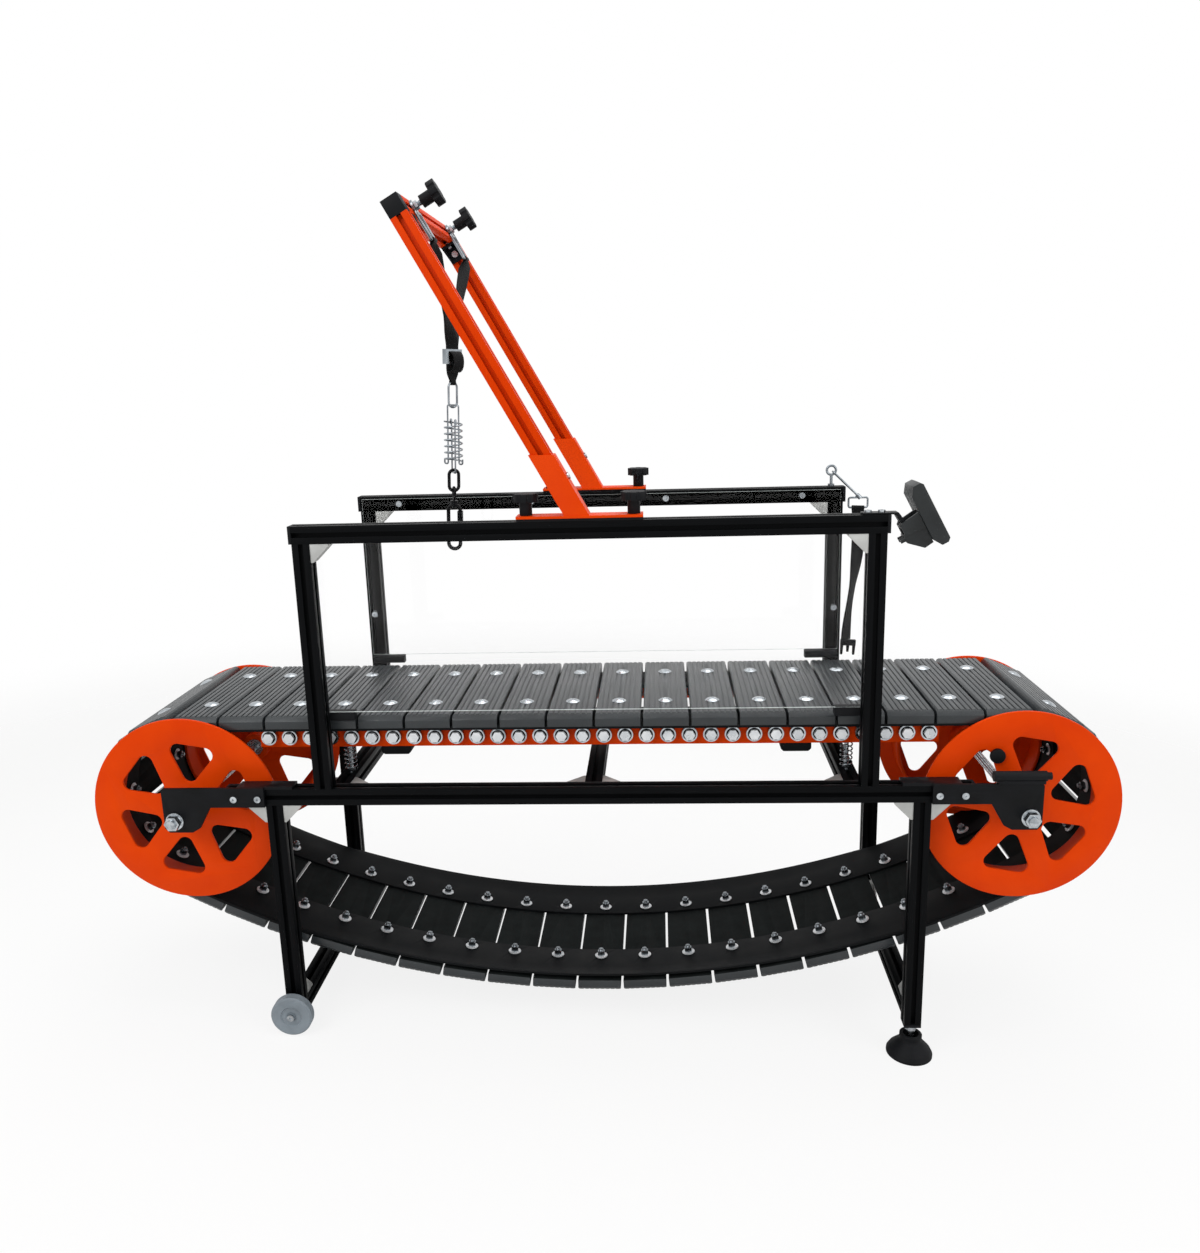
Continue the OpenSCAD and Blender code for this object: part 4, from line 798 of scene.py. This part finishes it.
# %% [markdown]
# ## Path of the belt
#
# The belt is one closed loop: a flat run, part of the way round a drum, a hanging arc and part of the way
# round the other drum. A place on it is given by the distance run from the left end of the flat, and by how
# far out from the drum's centre it lies. The arc meets both drums without a kink, because its centre is on
# the line through a drum's axle and the point where the belt leaves that drum.

# %% Path of the belt
belt_r, belt_sag, strip_thick = 145.3, 200, 4
arc_rise = (axle_x**2 - belt_sag**2) / (2 * belt_sag)
arc_r = hypot(axle_x, arc_rise)
arc_half = atan2(axle_x, arc_rise)
middle_r = belt_r + strip_thick / 2
drum_run = (pi - arc_half) * middle_r
hang_run = 2 * arc_half * (arc_r + middle_r)
belt_len = 2 * axle_x + 2 * drum_run + hang_run


def on_belt(run, r):
    if run < 2 * axle_x:
        return run - axle_x, axle_z + r, 0
    run -= 2 * axle_x
    if run < drum_run:
        turned = run / middle_r
        return axle_x + r * sin(turned), axle_z + r * cos(turned), turned
    run -= drum_run
    if run < hang_run:
        turned = pi - arc_half + run / (arc_r + middle_r)
        return (arc_r + r) * sin(turned), axle_z + arc_rise + (arc_r + r) * cos(turned), turned
    turned = pi + arc_half + (run - hang_run) / middle_r
    return -axle_x + r * sin(turned), axle_z + r * cos(turned), turned


def out_of_loop(point):
    at = off_slope(point)
    if abs(at.x) > axle_x:
        centre = Vector((axle_x if at.x > 0 else -axle_x, at.y, axle_z))
    elif at.z > axle_z:
        centre = Vector((at.x, at.y, axle_z))
    else:
        centre = Vector((0, at.y, axle_z + arc_rise))
    return tilt_up @ (at - centre).normalized()


print("belt length", round(belt_len / 1000, 3), "m")

# %% [markdown]
# ## Sawn underside of the slats, with painted shade
#
# Only the walking face of a slat is grooved and brushed. Its underside is plain sawn board, matt, and the
# hanging run shows it. Its nearly black colour is painted shade, for the shade inside the loop. So the faces
# that look into the loop get a second finish: down on the flat run, towards the axle on a drum, and towards
# the centre of the arc on the hanging run.

# %% Sawn underside with painted shade
# Matt sawn grain, and a nearly black colour that is painted shade inside the loop.
grained("sawn_composite_painted_shade", "#141717", "#232727", 1.6, 0.1, 0.72, 0.05)
board = bpy.data.objects["slats_edged"]
board.data.materials.append(finishes["sawn_composite_painted_shade"])
sawn = 0
for face in board.data.polygons:
    if face.normal.dot(out_of_loop(face.center)) < -0.6:
        face.material_index = 1
        sawn += 1
print("sawn faces:", sawn, "of", len(board.data.polygons))

# %% [markdown]
# ## Curl of the rubber strips
#
# The strips are cut from sheet that was rolled, and on the hanging run, where nothing presses on them, their
# outer edges curl up off the slats. Cuts along the strips give the edge something to bend at. Then the
# corners near the edge move into the loop, most at the middle of the run and not at all near the drums.

# %% Curl
curl, curl_from, strip_edge, curl_reach = 9, 120, 176, 560
curl_cuts = (-166, -152, -136, 136, 152, 166)
strips = bpy.data.objects["belt_strips_edged"]
bpy.ops.object.select_all(action="DESELECT")
bpy.context.view_layer.objects.active = strips
strips.select_set(True)
bpy.ops.object.mode_set(mode="EDIT")
for y in curl_cuts:
    bpy.ops.mesh.select_all(action="SELECT")
    bpy.ops.mesh.bisect(plane_co=(0, y / 1000, 0), plane_no=(0, 1, 0))
bpy.ops.object.mode_set(mode="OBJECT")
curled = 0
for corner in strips.data.vertices:
    at = off_slope(corner.co)
    if at.z < axle_z and abs(at.y) > curl_from and abs(at.x) < curl_reach:
        bend = ((abs(at.y) - curl_from) / (strip_edge - curl_from)) ** 2
        fade = cos(pi / 2 * at.x / curl_reach) ** 0.5
        corner.co -= out_of_loop(corner.co) * (curl / 1000) * bend * fade
        curled += 1
bpy.ops.object.shade_smooth_by_angle(angle=sharp)
print("curled corners:", curled)

# %% [markdown]
# ## Belt nuts
#
# Under every slat a flange nut holds each rubber strip. Nuts are seen all along the hanging run, so they get
# their real parts: a bright washer flange, a darker waxed hexagon with its corners turned down, and the end
# of the bolt with its threads. One of each is modelled at the origin, with Z out of the belt, and copied to
# all the places along the belt. Insets and extrusions start at the faces that look one way, so a helper
# picks those.

# %% Places of the nuts, and two helpers
slat_count, first_slat, bolt_y, nut_sink = 47, 0.33, 96, 0.9
nut_places = []
for i in range(slat_count):
    x, z, turned = on_belt((i + first_slat) * belt_len / slat_count, belt_r - nut_sink)
    for y in (-bolt_y, bolt_y):
        spot = Matrix.Translation(on_slope(x, y, z)) @ Matrix.Rotation(turned - slope, 4, "Y")
        nut_places.append(spot)


def repeat(piece, places):
    shape = piece.data.copy()
    copies = []
    for spot in places:
        copy = bpy.data.objects.new(piece.name, shape.copy())
        copy.data.transform(spot)
        bpy.context.scene.collection.objects.link(copy)
        copies.append(copy)
    bpy.data.objects.remove(piece)
    bpy.ops.object.select_all(action="DESELECT")
    for copy in copies:
        copy.select_set(True)
    bpy.context.view_layer.objects.active = copies[0]
    bpy.ops.object.join()
    bpy.ops.object.shade_smooth_by_angle(angle=radians(35))
    return bpy.context.object


def pick_facing(piece, way):
    bpy.ops.mesh.select_mode(type="FACE")
    bpy.ops.mesh.select_all(action="DESELECT")
    net = bmesh.from_edit_mesh(piece.data)
    for face in net.faces:
        face.select = face.normal.dot(way) > 0.9
    bmesh.update_edit_mesh(piece.data)


print("nuts:", len(nut_places))

# %% Washer flange
washer_r, washer_thick = 12, 1.2
bpy.ops.object.select_all(action="DESELECT")
bpy.ops.mesh.primitive_cylinder_add(
    vertices=24, radius=washer_r / 1000, depth=washer_thick / 1000, location=(0, 0, -washer_thick / 2000)
)
flange = bpy.context.object
flange.name = "belt_washers"
bpy.ops.object.transform_apply(location=True, rotation=True, scale=True)
bpy.ops.object.mode_set(mode="EDIT")
pick_facing(flange, Vector((0, 0, -1)))
for rim, rise in ((0.6, 0.5), (3.2, 0.7)):
    bpy.ops.mesh.inset(thickness=rim / 1000, depth=rise / 1000)
bpy.ops.object.mode_set(mode="OBJECT")
flange.data.materials.append(finishes["pale_zinc_flake"])
flange = repeat(flange, nut_places)
flange.name = "belt_washers"
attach(flange, "frame")
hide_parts("slat_nuts")
print("washers:", len(flange.data.polygons), "faces")

# %% [markdown]
# A nut starts as a cylinder with six sides, and an inset of its top turns the corners down. The bolt's end
# starts as a thin disc on top of it. Its upper face is extruded by half a thread at a time, drawn in and let
# out in turn, which gives the ridges of a thread without the cost of a helix.

# %% Nut on a threaded stud
corner_in, corner_up = 0.12, 0.07
disc_h, thread_root = 0.3, 0.86
end_in, end_up = 0.15, 0.1
straight_up = Vector((0, 0, 1))


def nut_on_stud(name, hex_r, hex_h, stud_r, stud_h, threads, finish):
    bpy.ops.object.select_all(action="DESELECT")
    bpy.ops.mesh.primitive_cylinder_add(vertices=6, radius=hex_r / 1000, depth=hex_h / 1000)
    nut = bpy.context.object
    nut.name = name
    bpy.ops.object.mode_set(mode="EDIT")
    bpy.ops.mesh.select_all(action="SELECT")
    bpy.ops.transform.translate(value=(0, 0, hex_h / 2000))
    pick_facing(nut, straight_up)
    bpy.ops.mesh.inset(thickness=corner_in * hex_r / 1000, depth=corner_up * hex_r / 1000)
    bpy.ops.object.mode_set(mode="OBJECT")
    bpy.ops.mesh.primitive_cylinder_add(vertices=12, radius=stud_r / 1000, depth=disc_h / 1000)
    stud = bpy.context.object
    bpy.ops.object.mode_set(mode="EDIT")
    bpy.ops.mesh.select_all(action="SELECT")
    bpy.ops.transform.translate(value=(0, 0, (hex_h + disc_h / 2) / 1000))
    pick_facing(stud, straight_up)
    half_pitch = (stud_h - disc_h) / threads / 2000
    for grow in (thread_root, 1 / thread_root) * threads:
        bpy.ops.mesh.extrude_region_move(TRANSFORM_OT_translate={"value": (0, 0, half_pitch)})
        bpy.ops.transform.resize(value=(grow, grow, 1))
    bpy.ops.mesh.inset(thickness=end_in * stud_r / 1000, depth=end_up * stud_r / 1000)
    bpy.ops.object.mode_set(mode="OBJECT")
    nut.select_set(True)
    bpy.context.view_layer.objects.active = nut
    bpy.ops.object.join()
    nut.data.materials.append(finishes[finish])
    return nut


belt_nut = {"hex_r": 7.5, "hex_h": 8.2, "stud_r": 4.4, "stud_h": 4.4, "threads": 3}
nut_seat = 1.8
hexagon = nut_on_stud("belt_nuts", **belt_nut, finish="waxed_dark_zinc")
hexagon.data.transform(Matrix.Translation((0, 0, -nut_seat / 1000)) @ Matrix.Rotation(pi, 4, "X"))
hexagon = repeat(hexagon, nut_places)
hexagon.name = "belt_nuts"
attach(hexagon, "frame")
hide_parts("slat_nuts")
print("hexagons:", len(hexagon.data.polygons), "faces")

# %% [markdown]
# The two top knobs stand off the cross bar on their studs, so the same nut and stud are made once more for
# them, in bright zinc. They sleeve the plain stud of the solid and turn with the knob.

# %% Knob studs
knob_stud = {"hex_r": 7.7, "hex_h": 5, "stud_r": 4.7, "stud_h": 7, "threads": 5}
knob_axis = Vector((0.8517269, 0, 0.5239859))
knob_x, knob_y, knob_z, stud_gap = -313.542, 150, 1450.866, 5.4
along_knob = knob_axis.to_track_quat("Z", "Y").to_matrix().to_4x4()
for name, side, body in (("knob_stud_front", -1, "knob_tf"), ("knob_stud_rear", 1, "knob_tr")):
    stud = nut_on_stud(name, **knob_stud, finish="bright_zinc_steel")
    foot = metres(knob_x, side * knob_y, knob_z) + knob_axis * (stud_gap / 1000)
    stud.data.transform(Matrix.Translation(foot) @ along_knob)
    bpy.ops.object.shade_smooth_by_angle(angle=radians(30))
    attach(stud, body)
print("knob stud faces:", len(stud.data.polygons))

# %% [markdown]
# ## Bearing seals
#
# Each deck bearing has a black rubber seal between its inner and outer race. It is a flat ring, so a torus is
# pressed flat and set into the dished face of the bearing, on the side that shows.

# %% Seals
seal_r, seal_half, seal_flat = 10, 1.35, 0.28
bearing_count, bearing_gap, seal_y, bearing_z = 32, 37.8, 168.5, 535
bpy.ops.object.select_all(action="DESELECT")
bpy.ops.mesh.primitive_torus_add(
    major_segments=24, minor_segments=6, major_radius=seal_r / 1000, minor_radius=seal_half / 1000
)
seal = bpy.context.object
seal.name = "bearing_seals"
bpy.ops.object.mode_set(mode="EDIT")
bpy.ops.mesh.select_all(action="SELECT")
bpy.ops.transform.resize(value=(1, 1, seal_flat))
bpy.ops.object.mode_set(mode="OBJECT")
seal.data.materials.append(finishes["black_rubber"])
face_out = Matrix.Rotation(-slope, 4, "Y") @ Matrix.Rotation(pi / 2, 4, "X")
seal_places = []
for i in range(bearing_count):
    x = (i - (bearing_count - 1) / 2) * bearing_gap
    for side in (-1, 1):
        seal_places.append(Matrix.Translation(on_slope(x, side * seal_y, bearing_z)) @ face_out)
seal = repeat(seal, seal_places)
seal.name = "bearing_seals"
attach(seal, "deck")
print("seals:", len(seal_places), "faces:", len(seal.data.polygons))

# %% [markdown]
# ## Display face
#
# The display faces away from the camera, to the runner's handler. Its case has a sunk window and two thumb
# buttons. The window is a dark tinted plate with rounded edges, and the buttons are soft domes. Both are made
# round the origin with X out of the screen, then carried to the tilted case.

# %% Display window
tree, shader, place = start_finish("dark_tinted_window")
smear = noise(tree, place, size=18, detail=5)
feed(tree, shader, {"Base Color": tint("#0d1211"), "Roughness": between(tree, smear, 0.06, 0.16)})
case_at, case_lean = (518, -215, 905), radians(28)
case = Matrix.Translation(on_slope(*case_at)) @ Matrix.Rotation(-slope - case_lean, 4, "Y")
window_size, window_at, window_round = (1.2, 47.4, 69.4), (51.2, 0, 12), 0.5


def on_case(piece):
    piece.data.transform(case)
    bpy.ops.object.shade_smooth_by_angle(angle=radians(40))
    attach(piece, "display")


bpy.ops.object.select_all(action="DESELECT")
bpy.ops.mesh.primitive_cube_add(size=1, location=metres(*window_at))
window = bpy.context.object
window.name = "display_window"
window.scale = metres(*window_size)
bpy.ops.object.transform_apply(location=True, rotation=True, scale=True)
rounding = window.modifiers.new("rounding", "BEVEL")
rounding.width = window_round / 1000
rounding.segments = 3
bpy.ops.object.modifier_apply(modifier="rounding")
window.data.materials.append(finishes["dark_tinted_window"])
on_case(window)
print("window faces:", len(window.data.polygons))

# %% Display buttons
button_r, button_h, button_x, button_y, button_z = 5.6, 2, 52.2, 14, -35
dome = ((0.8, 0.4), (1.4, 0.3), (1.4, 0.1))
for name, side in (("display_button_left", -1), ("display_button_right", 1)):
    spot = metres(button_x, side * button_y, button_z)
    bpy.ops.object.select_all(action="DESELECT")
    bpy.ops.mesh.primitive_cylinder_add(
        vertices=32, radius=button_r / 1000, depth=button_h / 1000, location=spot, rotation=(0, pi / 2, 0)
    )
    button = bpy.context.object
    button.name = name
    bpy.ops.object.transform_apply(location=True, rotation=True, scale=True)
    bpy.ops.object.mode_set(mode="EDIT")
    pick_facing(button, Vector((1, 0, 0)))
    for rim, rise in dome:
        bpy.ops.mesh.inset(thickness=rim / 1000, depth=rise / 1000)
    bpy.ops.object.mode_set(mode="OBJECT")
    button.data.materials.append(finishes["black_rubber"])
    on_case(button)
print("button faces:", len(button.data.polygons))

# %% [markdown]
# ## Floor
#
# A plain pale floor, as in a product studio. It fades out with distance, so it has no edge. To the camera
# it also glows, which lifts the shaded floor nearly to white and leaves a soft contact shadow.

# %% Floor
floor_fade, floor_lift = (1.0, 3.2), 0.85
bpy.ops.object.select_all(action="DESELECT")
bpy.ops.mesh.primitive_plane_add(size=40, location=(0, 0, -0.0005))
floor = bpy.context.object
floor.name = "floor"
tree, shader, place = start_finish("pale_studio_floor")
distance = add(tree, "ShaderNodeVectorMath", {0: place}, operation="LENGTH").outputs["Value"]
fade = between(tree, distance, 1, 0, *floor_fade, interpolation_type="SMOOTHSTEP")
feed(tree, shader, {
    "Base Color": tint("#f4f4f3"),
    "Roughness": 0.9,
    "Specular IOR Level": 0.1,
    "Alpha": fade,
})
to_camera = add(tree, "ShaderNodeLightPath").outputs["Is Camera Ray"]
lifted = combine(tree, "MULTIPLY", combine(tree, "MULTIPLY", to_camera, floor_lift), fade)
paper = add(tree, "ShaderNodeEmission", {"Color": (1, 1, 1, 1), "Strength": 1}).outputs[0]
surface = add(tree, "ShaderNodeMixShader", {0: lifted, 1: shader.outputs[0], 2: paper}).outputs[0]
feed(tree, tree.nodes["Material Output"], {"Surface": surface})
floor.data.materials.append(finishes["pale_studio_floor"])
print("floor fades from", floor_fade[0], "to", floor_fade[1], "m")

# %% [markdown]
# ## Light
#
# The world lights the object at a plain level, and shows as white to the camera, to mirror-like metal and
# through the panes. Three large soft lamps give the shape its shading: a key from the front left, a weaker
# one from the right and one from above.

# %% World and lamps
world = bpy.data.worlds.new("studio")
bpy.context.scene.world = world
world.use_nodes = True
tree = world.node_tree
tree.nodes.clear()
seen = add(tree, "ShaderNodeLightPath").outputs
direct = combine(tree, "MAXIMUM", seen["Is Camera Ray"], seen["Is Glossy Ray"])
shown = combine(tree, "MAXIMUM", direct, seen["Is Transmission Ray"])
fill = add(tree, "ShaderNodeBackground", {"Color": (1, 1, 1, 1), "Strength": 0.5}).outputs[0]
white = add(tree, "ShaderNodeBackground", {"Color": (1, 1, 1, 1), "Strength": 1.0}).outputs[0]
pick = add(tree, "ShaderNodeMixShader", {0: shown, 1: fill, 2: white}).outputs[0]
add(tree, "ShaderNodeOutputWorld", {"Surface": pick})

lamp_aim = Vector((0, 0, 0.6))
for name, place_at, size, power in [
    ("key", (-2.2, -2.6, 3.2), 2.4, 62),
    ("side", (2.8, -1.8, 2.2), 2.0, 28),
    ("top", (0.2, 0.6, 3.6), 3.0, 52),
]:
    bpy.ops.object.light_add(type="AREA", location=place_at)
    lamp = bpy.context.object
    lamp.name = name
    lamp.data.size = size
    lamp.data.energy = power
    lamp.rotation_euler = (lamp_aim - Vector(place_at)).to_track_quat("-Z", "Y").to_euler()
    print(name, "lamp of", power, "W")
bpy.context.scene.view_settings.view_transform = "Standard"
